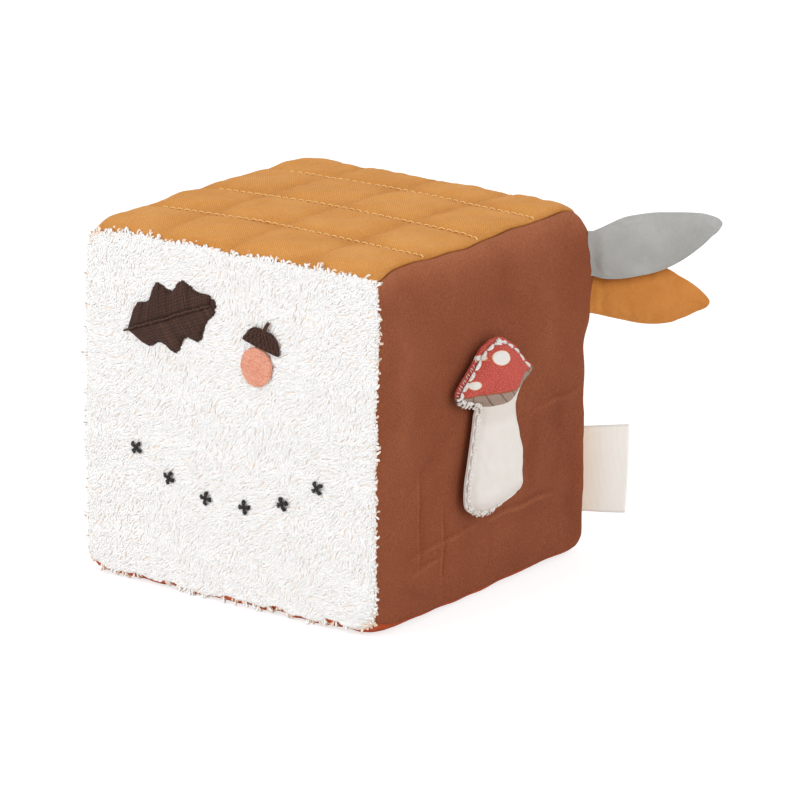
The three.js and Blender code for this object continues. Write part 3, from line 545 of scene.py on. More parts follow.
def shoulder(share):
    """How much of the shoulder there is at a place: it starts behind the front corner, dips in
    its middle, is highest before the back corner and fades there."""
    along = share[..., 1] * HALF
    length = ramp(along, *SHOULDER_START) * (1 - SHOULDER_LOSS * ramp(along, *SHOULDER_END))
    length = length * (1 + bumps(along, [SHOULDER_TOP]))
    near = np.clip(share[..., 0], 0, 1) * np.clip(share[..., 2], 0, 1)
    return length * (1 - bumps(along, [SHOULDER_DIP])) * near**SHOULDER_POWER


def seam_wander(share):
    """Seams stray a little, and the lowest ones are pushed up and out by the load on them, most
    in patches along the front. Then come the swellings, the shoulder and the corners' draws, each
    a dome of the distance from its corner. Both panels of a seam stray alike, because all of this
    depends on place alone."""
    places = share * HALF
    stray = [waves(places, SEAM_WANDER_SIZE, seed) for seed in (11, 12, 13)]
    moved = np.stack(stray, -1) * SEAM_WANDER * seam_nearness(share)[..., None]
    sideways = share[..., :2]
    outermost = np.max(np.abs(sideways), axis=-1)
    low = np.clip(np.maximum(-share[..., 2], 0) * outermost, 0, 1)
    patches = 1 + LOW_SEAM_PATCHES * waves(places, LOW_SEAM_PATCH_SIZE, seed=14)
    push = low**LOW_SEAM_POWER * patches
    on_outermost = np.abs(sideways) > outermost[..., None] - SAME_SHARE
    moved[..., 2] += LOW_SEAM_LIFT * push
    outwards = np.where(on_outermost, np.sign(sideways), 0)
    moved[..., :2] += LOW_SEAM_SPREAD * push[..., None] * outwards
    front = low**FRONT_SEAM_POWER * np.clip(-share[..., 1], 0, 1) ** FRONT_SEAM_DEPTH_POWER
    patches = FRONT_SEAM_EVEN + waves(places, FRONT_SEAM_PATCH_SIZE, seed=15)
    moved[..., 2] += FRONT_SEAM_LIFT * front * np.clip(patches, 0, FRONT_SEAM_MOST)
    upright = np.clip(share[..., 0], 0, 1) * np.clip(share[..., 1], 0, 1)
    swelled = bumps(places[..., 2] + HALF, SWELLINGS) * upright**SEAM_REACH_POWER
    moved[..., :2] += (swelled * DIAGONAL_SHARE)[..., None]
    rides_over = shoulder(share)
    moved[..., 0] -= SHOULDER_IN * rides_over
    moved[..., 2] += SHOULDER_UP * rides_over
    for corner, draw, reach in CORNER_DRAWS:
        distance = HALF * np.linalg.norm(share - np.array(corner), axis=-1) / reach
        moved += dome(distance)[..., None] * np.array(draw)
    return moved


def hump(share, fullness):
    """A parabola between each two lines of stitches, raised to a power."""
    within = np.mod((share + 1) / 2 * QUILT_SQUARES, 1)
    return (4 * within * (1 - within)) ** fullness


def pillow(u, v):
    """Each square between the lines of stitches swells by the product of two humps. The cross
    lines are sewn loosely, so their grooves are shallow in places."""
    places = np.stack(np.broadcast_arrays(u * HALF, v * HALF), -1)
    loose = LOOSENESS + LOOSENESS_STRAY * waves(places, LOOSENESS_SIZE, seed=35)
    loose = loose * ramp((1 - np.abs(u)) * HALF, 0, LOOSENESS_FADE)
    across = 1 - (1 - loose) * (1 - hump(u, CROSS_FULLNESS))
    return QUILT_PUFF * across * hump(v, QUILT_FULLNESS)


def quilt_drift(u, v):
    """How far the long lines are sewn towards the back: most the one furthest back, on its left."""
    slanted = 1 - QUILT_DRIFT_SLANT * u
    return QUILT_DRIFT / HALF * arch(np.clip(v, 0, 1)) ** 2 * slanted


def cloth(side, u, v, depth=0.0):
    """A point of the cloth on one side of the block, depth inwards from its outside.

    The sharp cube's point is drawn onto the cube's rounding: its nearest point on a cube smaller
    by the seam radius, plus the rest of the radius towards it. Then come the crown, which is two
    parabolas' product, the quilted squares, and the push and stray of the seams.
    """
    u, v, depth = np.broadcast_arrays(np.asarray(u, float), v, depth)
    puffed = 0.0
    if side.quilted:
        puffed = pillow(u, v)
        v = v + quilt_drift(u, v)
    reach = HALF - SEAM_RADIUS
    sharp = np.stack([u * HALF, v * HALF, np.full(u.shape, HALF)], -1)
    core = np.clip(sharp, -reach, reach)
    local = core + normalised(sharp - core) * (SEAM_RADIUS - depth)[..., None]
    rise = side.crown * ((1 - u * u) * (1 - v * v)) ** (TOP_FULLNESS if side.quilted else 1)
    share = on_face(side, u, v, np.ones(u.shape))
    points = on_face(side, local[..., 0], local[..., 1], local[..., 2] + rise + puffed)
    points = points + seam_push(share) + seam_wander(share)
    points[..., 2] += HALF
    if side.resting:
        points[..., 2] = np.maximum(points[..., 2], depth)
    return points


def inner_share(depth, from_seam_plane):
    """The share of the face at which a layer at this depth is so far from the seam's plane."""
    radius = SEAM_RADIUS - depth
    slope = math.sqrt(2) * from_seam_plane / radius
    if slope >= 1:
        return (HALF - depth - math.sqrt(2) * from_seam_plane) / HALF
    rest = 1 - slope * slope
    rise = (1 - math.sqrt(1 - rest * rest)) / rest
    return (HALF - SEAM_RADIUS + rise * SEAM_RADIUS) / HALF


def squeezed(share, limit):
    """Shares near the rim are narrowed, so that an inner layer ends where its limit says."""
    size = np.abs(share)
    beyond = (size - SQUEEZE_SHARE) / (RIM_SHARE - SQUEEZE_SHARE)
    narrowed = np.sign(share) * (SQUEEZE_SHARE + beyond * (limit - SQUEEZE_SHARE))
    return np.where(size <= SQUEEZE_SHARE, share, narrowed)


def eased_shares(cells):
    """Shares from rim to rim, with cells half as wide at the rim as those of an even grid."""
    t = np.linspace(-1, 1, cells + 1)
    return RIM_SHARE * t * (1.25 - 0.25 * t * t)


def panel_form(side, shares, thickness, outer, mask=0.0, moved=0.0):
    """One panel: its outer grid, its inner layer, and the allowance turned in behind the seam.
    moved is what the outer grid has left its plain place by, and the inner layer goes along."""
    u, v = side_grid(shares)
    limit = inner_share(thickness, TWILL + SEAM_GAP / 2)
    inner = cloth(side, squeezed(u, limit), squeezed(v, limit), thickness) + moved
    rim_u, rim_v = border(u), border(v)
    rim = border(outer)
    loops = []
    for back_layer in (0.0, TWILL):
        down = (back_layer - SEAM_ALLOWANCE) * DIAGONAL_SHARE
        back = (back_layer + SEAM_ALLOWANCE) * DIAGONAL_SHARE
        loops.append(rim + on_face(side, -rim_u * back, -rim_v * back, down))
    weave = np.stack([u * HALF, v * HALF, np.broadcast_to(mask, u.shape)], -1)
    return closed_sheet(outer, inner, weave, loops)


# Creases and puckers of a taut panel

Crease = namedtuple("Crease", "start end width rise")

# Fold lines left by packing, as (across, up) from the middle of the face
RIGHT_CREASES = [
    Crease((-37.5, -8.0), (-37.2, -45.0), 0.7, 0.6),
    Crease((-35.4, -6.0), (-35.4, -42.0), 1.8, -0.4),
    Crease((-24.4, -24.0), (-23.9, -51.0), 0.7, 0.65),
    Crease((-22.6, -24.0), (-22.4, -48.0), 1.6, -0.4),
    Crease((-41.0, -37.2), (-4.0, -34.6), 0.75, 0.5),
    Crease((-41.0, -43.0), (-25.0, -41.5), 0.8, 0.5),
    Crease((0.0, -34.2), (41.0, -34.9), 0.8, 0.75),
    Crease((2.0, -37.0), (40.0, -38.0), 2.0, -0.35),
    Crease((4.0, -36.0), (3.0, -53.0), 1.6, -0.35),
    Crease((27.0, -2.6), (57.0, -2.2), 0.8, 0.4),
    Crease((-47.2, 53.0), (-46.0, -6.0), 4.0, 0.5),
    Crease((-20.4, 56.0), (-19.6, 38.0), 2.8, 0.4),
    Crease((51.5, -12.0), (53.0, -56.0), 4.5, -0.7),
    Crease((43.0, 4.0), (44.5, -30.0), 4.0, -0.5),
    Crease((28.0, -4.0), (26.0, -31.0), 3.0, -0.5),
    Crease((-31.0, 8.0), (-29.0, -22.0), 3.6, -0.3),
    Crease((-44.0, -14.0), (-18.0, 3.0), 3.0, -0.35),
    Crease((34.0, 50.0), (36.5, 14.0), 4.2, 0.35),
    Crease((8.0, 54.0), (12.0, 34.0), 3.4, -0.3),
    Crease((-50.0, -46.0), (-28.0, -53.5), 2.2, -0.4),
]
BACK_CREASES = [
    Crease((-30.0, 52.0), (-28.5, 8.0), 3.6, -0.24),
    Crease((-12.0, -20.0), (44.0, -18.0), 1.5, 0.24),
    Crease((33.0, 40.0), (34.0, -30.0), 4.2, 0.28),
    Crease((-46.0, -40.0), (-18.0, -52.0), 2.8, -0.22),
]
LEFT_CREASES = [
    Crease((22.0, 50.0), (20.5, -14.0), 3.4, 0.26),
    Crease((-48.0, 6.0), (10.0, 8.0), 1.6, -0.26),
    Crease((-26.0, -12.0), (-25.0, -48.0), 1.4, 0.22),
    Crease((30.0, -50.0), (48.0, -36.0), 3.0, 0.22),
]
BOTTOM_CREASES = [
    Crease((-34.0, 20.0), (26.0, 22.0), 2.0, -0.12),
]

CREASE_STRAY = 0.35  # how far a crease strays from its line, in widths
CREASE_STRAY_LENGTH = 19.0
HOLLOW_PLACE = 1.7  # how far aside of a sharp crease its hollow is, in widths
HOLLOW_DEPTH = 0.55
FULL_WEAR_AND_SHADE_RISE = 0.4  # a crease this high gets all of its lighter worn line and painted highlight, a hollow all of its painted shade
EDGE_PAINTED_LIGHT = 2.4  # the painted light of the band below a top edge, as a multiple of a sharp crease's tint
EDGE_PAINTED_LIGHT_REACH = 7.0
SOFT_WEAR_AND_SHADE = 0.5  # the worn lightening and painted shade of a broad crease, as a share of a sharp one's
SLACK = 0.3
SLACK_SIZE = 42.0
PUCKER = 0.2
PUCKER_REACH = 5.5
PUCKER_RISE = 1.6
PUCKER_SIZE = 6.5
RELIEF_FADE = 2.5
RESTING_RELIEF = 0.3  # what is left of it on the side that the block stands on
LINING_SHARE = 0.5  # how much of it the panel's inner layer follows


def is_sharp(crease):
    return crease.width < 1


def crease_relief(across, up, crease):
    """A bell across the crease's line, thinning to nothing at its two ends. The line wanders, and
    a sharp crease has a hollow beside it."""
    start, end = np.array(crease.start), np.array(crease.end)
    length = np.linalg.norm(end - start)
    ahead = (end - start) / length
    along = (across - start[0]) * ahead[0] + (up - start[1]) * ahead[1]
    aside = (up - start[1]) * ahead[0] - (across - start[0]) * ahead[1]
    stray = np.sin(along * TURN / CREASE_STRAY_LENGTH + crease.width)
    aside = aside / crease.width + CREASE_STRAY * stray
    share = np.clip(along / length, 0, 1)
    taper = np.sqrt(np.maximum(0, 4 * share * (1 - share)))
    ridge = bell(aside, 0, 1)
    hollow = bell(aside, HOLLOW_PLACE, 1) * (HOLLOW_DEPTH if is_sharp(crease) else 0)
    return crease.rise * taper * (ridge - hollow)


def pucker_fade(away, rise, reach):
    """A pucker is nothing on its seam or line, rises beside it and dies out away from it."""
    return np.exp(-away / reach) * (1 - np.exp(-away / rise))


def panel_relief(u, v, creases, seed):
    """How far a taut panel stands from its plain shape: slack waves, creases, and puckers that
    run in from the seams and die out across the face."""
    across, up = u * HALF, v * HALF
    places = np.stack([across, up], -1)
    inside = (1 - u * u) * (1 - v * v)
    relief = SLACK * waves(places, SLACK_SIZE, seed) * np.sqrt(np.maximum(inside, 0))
    relief = relief + sum(crease_relief(across, up, crease) for crease in creases)
    for share, along, family in ((u, up, 1), (v, across, 2)):
        for end in (-1, 1):
            fade = pucker_fade(HALF * (1 - end * share), PUCKER_RISE, PUCKER_REACH)
            ripple = waves_along(along, 0, PUCKER_SIZE, seed + 10 * family + end, 5)
            relief = relief + PUCKER * fade * ripple
    return relief * ramp(from_rim(u, v), 0, RELIEF_FADE)


def add_twill_panel(name, side, cells, creases, seed, finish, node):
    shares = eased_shares(cells)
    u, v = side_grid(shares)
    relief = panel_relief(u, v, creases, seed)
    if side.resting:
        relief = -np.abs(relief) * RESTING_RELIEF
    lines = sum(crease_relief(u * HALF, v * HALF, crease) * (1 if is_sharp(crease) else SOFT_WEAR_AND_SHADE)
                for crease in creases)
    # the mask lightens crease ridges, a worn line with a painted highlight, and darkens the hollows
    # beside them with painted shade
    mask = np.clip(lines / FULL_WEAR_AND_SHADE_RISE, -1, 1)
    # painted light: a lighter band below the top edge, as if lit from above
    if side.up[2] > 0:
        mask = mask + EDGE_PAINTED_LIGHT * bell(HALF * (1 - v), 0, EDGE_PAINTED_LIGHT_REACH)
    moved = relief[..., None] * side.normal
    form = panel_form(side, shares, TWILL, cloth(side, u, v) + moved, mask, moved * LINING_SHARE)
    made = add_piece(name, form, finish, replaces=[node])


# Quilted top

QUILT_CELLS = 100
ON_LINE = 0.01  # in squares
QUILT_RIM = 2.0
QUILT_RIM_FADE = 5.0
QUILT_PUCKER_REACH = 4.0
QUILT_PUCKER_RISE = 0.8
QUILT_PUCKER_SIZE = 4.6
QUILT_SLACK = [(0.22, 7, 33), (0.4, 16, 34)]
QUILT_SLACK_FADE = 6.0
GROOVE_SHADE_SHARE = 0.6  # the painted shade in a groove ends where a square has swelled by this share
QUILT_STITCH = 3.03
QUILT_STITCH_GAP = 0.4
STITCH_SHIFT = 0.12
STITCH_SLANT = 0.16
STITCH_DIP = 0.12
LINE_STRAY = 0.3
LINE_STRAY_SIZE = 38.0
LINE_END_DRIFT = 1.6


def quilt_grid():
    """The top's grid, with columns and rows exactly on the lines of stitches, after the cloth
    between them has settled against the wadding's pressure."""
    shares = np.linspace(-1, 1, QUILT_CELLS + 1)
    shares[[0, -1]] = [-RIM_SHARE, RIM_SHARE]
    u, v = side_grid(shares)
    plain = cloth(TOP, u, v)
    held = from_rim(u, v) < QUILT_RIM
    for share in (u, v):
        lines = share * QUILT_SQUARES / 2
        held |= np.abs(lines - np.round(lines)) < ON_LINE
    blown = settled(plain, held, pressure=0.9, growth=0.014, cap=0.5, seed=31)
    moved = (blown - plain) * ramp(from_rim(u, v), 0, QUILT_RIM_FADE)[..., None]
    return shares, u, v, plain, moved


def quilt_puckers(u, v):
    """Small wrinkles square to the lines of stitches. They die out away from the line, and are
    nothing on it."""
    relief = np.zeros(u.shape)
    side = BLOCK_EDGE / QUILT_SQUARES
    for share, stretch, seed in ((v, (1.0, 0.25), 36), (u, (0.25, 1.0), 37)):
        within = np.mod((share + 1) / 2 * QUILT_SQUARES, 1)
        away = side * np.minimum(within, 1 - within)
        places = np.stack([u * HALF * stretch[0], v * HALF * stretch[1]], -1)
        fade = pucker_fade(away, QUILT_PUCKER_RISE, QUILT_PUCKER_REACH)
        relief = relief + PUCKER * waves(places, QUILT_PUCKER_SIZE, seed) * fade
    return relief


def add_quilted_top(finish):
    shares, u, v, plain, moved = quilt_grid()
    places = np.stack([u * HALF, v * HALF], -1)
    slack = layered_waves(places, QUILT_SLACK) * hump(u, CROSS_FULLNESS)
    slack = slack * hump(v, QUILT_FULLNESS) + quilt_puckers(u, v)
    slack = slack * ramp(from_rim(u, v), 0, QUILT_SLACK_FADE)
    moved = moved + slack[..., None] * TOP.normal
    # painted shade: the cloth darkens towards the stitched grooves between the squares
    painted_shade = 1 - np.clip(pillow(u, v) / (GROOVE_SHADE_SHARE * QUILT_PUFF), 0, 1)
    form = panel_form(TOP, shares, TWILL, plain + moved, painted_shade, moved)
    made = add_piece("top_quilted_cloth", form, finish,
                     replaces=["top_quilted_panel"], level=1)


def stitch_row(line, lengthwise, seed, rise):
    """The visible stitches of one line. Each arches over the cloth between two dips into it. The
    long lines drift towards the front just before they reach the right seam."""
    random = np.random.default_rng(seed)
    first = (QUILT_START if lengthwise else QUILT_END) - HALF
    count = int((HALF - QUILT_END - first) / QUILT_STITCH)
    starts = first + QUILT_STITCH * np.arange(count) + random.normal(0, STITCH_SHIFT, count)
    t = np.linspace(0, 1, 8)
    along = starts[:, None] + (QUILT_STITCH - QUILT_STITCH_GAP) * t
    slant = random.normal(0, STITCH_SLANT, count)[:, None] * (t - 0.5) * 2
    aside = line * HALF + slant + LINE_STRAY * waves_along(along, line, LINE_STRAY_SIZE, seed + 1)
    if lengthwise:
        aside = aside - LINE_END_DRIFT * ramp(along, HALF - 9, HALF - 1)
    height = rise * arch(t, 0.6) - STITCH_DIP
    u, v = (along, aside) if lengthwise else (aside, along)
    return cloth(TOP, u / HALF, v / HALF, -height)


def add_quilt_stitches(long_finish, cross_finish):
    kinds = (("long", long_finish, True, 40, 0.55, 0.5),
             ("cross", cross_finish, False, 50, 0.14, 0.34))
    for index in range(1, QUILT_SQUARES):
        line = 2 * index / QUILT_SQUARES - 1
        for kind, finish, lengthwise, seed, rise, radius in kinds:
            path = stitch_row(line, lengthwise, seed + index - 1, rise)
            form = tubes(path, QUILT_THREAD * radius, TOP.normal, 6)
            add_piece(f"quilt_stitches_{kind}_{index}", form, finish,
                      replaces=[f"quilt_thread_{kind}_{index}"])


# Towelling

STRANDS_EACH_WAY = 136
PILE_BANDS = 7
GROUND_DEPTH = 0.3
GROUND_FADE = 3.0
STRAND_STEPS = 7
STRAND_HEADING = 50.0  # degrees up from level, before the swirls turn it
STRAND_SWIRLS = [(0.45, 34, 62), (0.26, 11, 63)]
STRAND_PATCHES = [(0.12, 6.5, 64)]
STRAND_LEANS = [(0.25, 5, 65)]
STRAND_LENGTH = 4.0
STRAND_RADIUS = 0.45
STRAND_THICK_SHARE = 0.8
STRAND_RISE = 0.5
STRAND_ROOT_DEPTH = 0.15
FRINGE_SPACING = 0.34
FRINGE_END = 0.985
FRINGE_LOWEST = 0.4
TUFT_SIZE = 4.0
# On the left, right, foot and top edge: the loops' length as a share, and the height of the wave
# of tufts below which loops are missing
FRINGE_SHARES = (1.0, 0.62, 1.05, 0.95)
FRINGE_GAPS = (-0.5, -9.0, 0.1, -9.0)
PILE_SEED = 61


def motif_place(x, z, motif, forward=0.0):
    """How far a place on the towelling lies along a motif's own axis, and how far aside of it."""
    turn = math.radians(motif.tilt)
    from_x, from_z = x - motif.across, z - motif.height
    along = from_x * math.cos(turn) + from_z * math.sin(turn) - forward
    aside = from_z * math.cos(turn) - from_x * math.sin(turn)
    return along, aside


def sprig_places():
    shares = np.linspace(-0.5, 0.5, SPRIGS)
    angles = np.radians(SPRIG_SPREAD * shares - 90)
    x = SPRIG_ARC_RADIUS * np.cos(angles)
    z = SPRIG_ARC_MIDDLE + SPRIG_ARC_RADIUS * np.sin(angles)
    return x, z, np.radians(SPRIG_SPREAD * shares)


def under_embroidery(x, z):
    """True where the stitching lies on the towelling: on the leaf, the nut, the cup and sprigs."""
    along, aside = motif_place(x, z, LEAF_MOTIF)
    share = along / LEAF_MOTIF.length + 0.5
    half = leaf_motif_half(np.clip(share, 0.01, 0.99))
    inside = (np.abs(aside) < half - 0.9) & (share > 0.02) & (share < 0.98)
    nut = (0.0, NUT_MOTIF.length - 1, NUT_MOTIF.width - 1)
    cup = (CUP_FORWARD, CUP_LENGTH + 1, CUP_WIDTH - 1)
    for forward, length, width in (nut, cup):
        along, aside = motif_place(x, z, NUT_MOTIF, forward)
        inside |= np.hypot(along / (length / 2), aside / (width / 2)) < 1
    for sprig_x, sprig_z, _ in zip(*sprig_places()):
        inside |= np.hypot(x - sprig_x, z - sprig_z) < 0.55 * SPRIG_RADIUS
    return inside


def strands_at(x, z, random):
    """The strands of the pile at these places: (strands, steps, 3), and their radii. Each
    rises from the ground cloth as a flat arch, leans over and comes back down. Its heading
    follows swirls, mostly from the lower left to the upper right."""
    count = x.size
    places = np.stack([x, z], -1)
    swirl = layered_waves(places, STRAND_SWIRLS)
    heading = math.radians(STRAND_HEADING) + swirl + random.normal(0, 0.12, count)
    heading = heading + np.pi * (random.uniform(size=count) < 0.5)
    length = STRAND_LENGTH * random.uniform(0.7, 1.35, count)
    patches = 1 + layered_waves(places, STRAND_PATCHES)
    rise = STRAND_RISE * patches * random.uniform(0.8, 1.15, count)
    lean = random.normal(0, 0.3, count) + layered_waves(places, STRAND_LEANS)
    curl = random.normal(0, 0.22, count)
    t = np.linspace(0, 1, STRAND_STEPS)
    raised = arch(t, 0.7)
    along = length[:, None] * (t - 0.5)
    aside = lean[:, None] * raised + curl[:, None] * np.sin(TURN * t)
    cosine, sine = np.cos(heading)[:, None], np.sin(heading)[:, None]
    across = x[:, None] + along * cosine - aside * sine
    up = z[:, None] + along * sine + aside * cosine
    height = rise[:, None] * raised - PILE - STRAND_ROOT_DEPTH
    radius = STRAND_RADIUS * random.uniform(0.75, 1.2, count)[:, None] * (0.3 + 0.7 * raised)
    return on_towelling(across, up, height), radius


def fringe_strands(random):
    """Loops along the four edges that stand out past the seam. Each leaves the cloth just inside
    the rim, turned a little to one side and down, and its end curls part of the way back. They
    are longest where a wave along the edge gathers them into tufts."""
    count = int(BLOCK_EDGE / FRINGE_SPACING)
    t = np.linspace(0, 1, STRAND_STEPS)[:, None]
    parts = []
    for edge, (share, gap) in enumerate(zip(FRINGE_SHARES, FRINGE_GAPS)):
        place = np.linspace(-FRINGE_END, FRINGE_END, count) + random.normal(0, 0.006, count)
        rim = 1 - random.uniform(0.2, 2.6, count) / HALF
        sign = 1 if edge % 2 else -1
        u, v = (sign * rim, place) if edge < 2 else (place, sign * rim)
        outwards = (FRONT.across if edge < 2 else FRONT.up) * sign
        aside = FRONT.up if edge < 2 else FRONT.across
        clump = waves_along(place * HALF, 50 * edge, TUFT_SIZE, seed=66)
        turn = 0.3 * clump + random.normal(0, 0.4, count)
        tilt = random.uniform(-0.1, 0.9, count)
        length = random.uniform(0.9, 2.1, count) * np.clip(1 + 0.45 * clump, 0.2, 1.8) * share
        width = random.normal(0, 0.7, count)
        heading = np.cos(turn)[:, None] * outwards + np.sin(turn)[:, None] * aside
        ahead = heading * np.cos(tilt)[:, None] - FRONT.normal * np.sin(tilt)[:, None]
        sideways = np.cross(heading, FRONT.normal)
        root = cloth(FRONT, u, v, PILE * 0.6)
        reach = length[:, None, None] * arch(0.8 * t, 0.8)
        sway = width[:, None, None] * (1 - np.cos(np.pi * t)) / 2
        path = root[:, None] + ahead[:, None] * reach + sideways[:, None] * sway
        path = path + FRONT.normal * (0.35 * arch(t) - 0.5 * t**3)
        parts.append(path[clump > gap])
    paths = np.concatenate(parts)
    paths[..., 2] = np.clip(paths[..., 2], FRINGE_LOWEST, None)
    taper = 0.5 + 0.5 * arch(t[:, 0], 0.6)
    return paths, STRAND_RADIUS * random.uniform(0.8, 1.1, len(paths))[:, None] * taper


def pile_strands():
    """All strands of the pile: the field, away from the stitching, and the fringe."""
    random = np.random.default_rng(PILE_SEED)
    spacing = BLOCK_EDGE / STRANDS_EACH_WAY
    columns = (np.arange(STRANDS_EACH_WAY) + 0.5) * spacing - HALF
    x, z = [grid.ravel() for grid in np.meshgrid(columns, columns + HALF, indexing="ij")]
    x, z = [place + random.uniform(-0.6, 0.6, place.size) * spacing for place in (x, z)]
    kept = ~under_embroidery(x, z)
    parts = [strands_at(x[kept], z[kept], random), fringe_strands(random)]
    return [np.concatenate(arrays) for arrays in zip(*parts)]


def above_ground(points):
    """How far points stand out from the ground cloth, as a share of the pile's thickness."""
    u = np.clip(points[:, 0] / HALF, -RIM_SHARE, RIM_SHARE)
    v = np.clip(points[:, 2] / HALF - 1, -RIM_SHARE, RIM_SHARE)
    ground = cloth(FRONT, u, v, PILE)
    return np.clip(((points - ground) @ FRONT.normal) / PILE, 0, 1)


def add_towelling(ground_finish, pile_finish):
    shares = eased_shares(84)
    u, v = side_grid(shares)
    ground = cloth(FRONT, u, v, GROUND_DEPTH * ramp(from_rim(u, v), 0, GROUND_FADE))
    form = panel_form(FRONT, shares, TOWELLING, ground)
    made = add_piece("towelling_ground", form, ground_finish,
                     replaces=["front_towelling_panel"])
    paths, radius = pile_strands()
    band = np.clip((paths[:, 0, 2] / BLOCK_EDGE * PILE_BANDS).astype(int), 0, PILE_BANDS - 1)
    for index in range(PILE_BANDS):
        chosen = band == index
        form = tubes(paths[chosen], radius[chosen], FRONT.normal, 5, thick=STRAND_THICK_SHARE)
        # the share of the pile's height, which the pile finish turns into painted shade
        form.weave[:, 2] = above_ground(form.points)
        add_piece(f"towelling_pile_{index + 1}", form, pile_finish)


# Embroidery

LOBES = 3.5
LOBE_DEPTH = 0.16
STITCH_THREAD = 0.46
STITCH_PITCH = 0.36
SHORTEST_STITCH = 0.5
MIDRIB_ROOM = 0.35
MIDRIB_PITCH = 1.75
MIDRIB_STITCH = 2.1
STALK_LENGTH = 4.6


def leaf_motif_half(share):
    """Half the width of the embroidered leaf: a full sine hump, cut in by a row of lobes."""
    plain = arch(np.clip(share, 0.02, 0.98), 0.7)
    lobes = 1 - LOBE_DEPTH * (1 + np.cos(TURN * LOBES * share))
    return LEAF_MOTIF.width / 2 * plain * lobes


def on_towelling(across, height, outwards):
    return cloth(FRONT, across / HALF, height / HALF - 1, -outwards)


def on_motif(motif, along, aside, outwards, forward=0.0):
    """A place on the towelling from one along a motif's own axis and one aside of it."""
    turn = math.radians(motif.tilt)
    x = motif.across + (along + forward) * math.cos(turn) - aside * math.sin(turn)
    z = motif.height + (along + forward) * math.sin(turn) + aside * math.cos(turn)
    return on_towelling(x, z, outwards)


def threads(paths, radius, random=None, sides=5, mask=0.95):
    """Embroidery threads. Each has its own shade, drawn at random, or all have one."""
    masks = random.uniform(size=len(paths)) if random else mask
    return tubes(paths, radius, FRONT.normal, sides, masks)


def padding_form(motif, length, half_of, forward=0.0):
    """The padding under the satin stitches: rows along the motif, as wide as half_of says."""
    share = np.linspace(0, 1, 41)[:, None]
    across = np.linspace(-1, 1, 9)[None, :]
    half = np.maximum(half_of(share) - 0.35, 0.1)
    along = (share - 0.5) * length * 0.97 + across * 0
    aside = across * half
    thickness = PADDING * (1 - 0.5 * across**4)
    outer = on_motif(motif, along, aside, CLEARANCE + thickness, forward)
    inner = on_motif(motif, along, aside, CLEARANCE * 0.4, forward)
    return closed_sheet(outer, inner, np.stack([along, aside, along * 0], -1))


def satin_half(sign, seed):
    """The satin stitches on one half of the leaf: from the midrib, slanting forward to the edge."""
    random = np.random.default_rng(seed)
    count = int(LEAF_MOTIF.length / STITCH_PITCH)
    start = np.linspace(0.0, 0.93, count)[:, None]
    end = np.clip(start + 0.1 * (1 - start) + 0.02, 0.0, 0.995)
    t = np.linspace(0, 1, 7)
    share = start + (end - start) * t**0.9
    edge = leaf_motif_half(end) * (1 + random.normal(0, 0.025, (count, 1)))
    aside = sign * (MIDRIB_ROOM + (edge - MIDRIB_ROOM) * t)
    along = (share - 0.5) * LEAF_MOTIF.length
    layer = 0.1 * random.uniform(-1, 1, (count, 1))
    height = CLEARANCE + 0.3 + (EMBROIDERY - 0.3 + layer) * arch(0.12 + 0.8 * t, 0.5)
    height = np.where(t > 0.97, CLEARANCE * 0.6, height)
    return threads(on_motif(LEAF_MOTIF, along, aside, height), STITCH_THREAD / 2, random, 4)


def midrib(seed):
    """The vein: back stitches along the middle, each a little over the next."""
    random = np.random.default_rng(seed)
    length = LEAF_MOTIF.length
    starts = np.arange(-0.56 * length, 0.42 * length, MIDRIB_PITCH)[:, None]
    t = np.linspace(0, 1, 6)
    along = starts + MIDRIB_STITCH * t
    aside = 0.12 * random.uniform(-1, 1, starts.shape) + 0.1 * np.sin(along / 3)
    height = CLEARANCE + EMBROIDERY + 0.3 * arch(t, 0.6)
    height = np.where(along < -0.5 * length, height - 0.45, height)
    return threads(on_motif(LEAF_MOTIF, along, aside, height), 0.4, mask=0.9)


def fill_rows(length, half_of, stitch, seed, forward=0.0):
    """Fill stitches: rows across the nut, each broken into stitches that start at random."""
    random = np.random.default_rng(seed)
    t = np.linspace(0, 1, 5)
    paths = []
    masks = []
    for share in np.arange(0.02, 0.985, STITCH_PITCH / length):
        half = float(half_of(share)) * (1 + random.normal(0, 0.015))
        for cut in np.arange(-half - random.uniform(0, stitch), half, stitch):
            low, high = max(cut, -half), min(cut + stitch * 1.05, half)
            if high - low < SHORTEST_STITCH:
                continue
            aside = low + (high - low) * t
            bulge = np.sqrt(np.maximum(0, 1 - (aside / (half + 0.2)) ** 2))
            height = CLEARANCE + 0.25 + 0.55 * bulge + 0.16 * arch(t)
            along = (share - 0.5) * length + 0 * t
            paths.append(on_motif(NUT_MOTIF, along, aside, height, forward))
            masks.append(random.uniform())
    return threads(paths, STITCH_THREAD / 2, sides=4, mask=masks)


def nut_half(share):
    return NUT_MOTIF.width / 2 * np.sqrt(1 - (2 * np.clip(share, 0.02, 0.98) - 1) ** 2)


def cup_half(share):
    return CUP_WIDTH / 2 * np.sqrt(1 - (0.9 * share) ** 2)


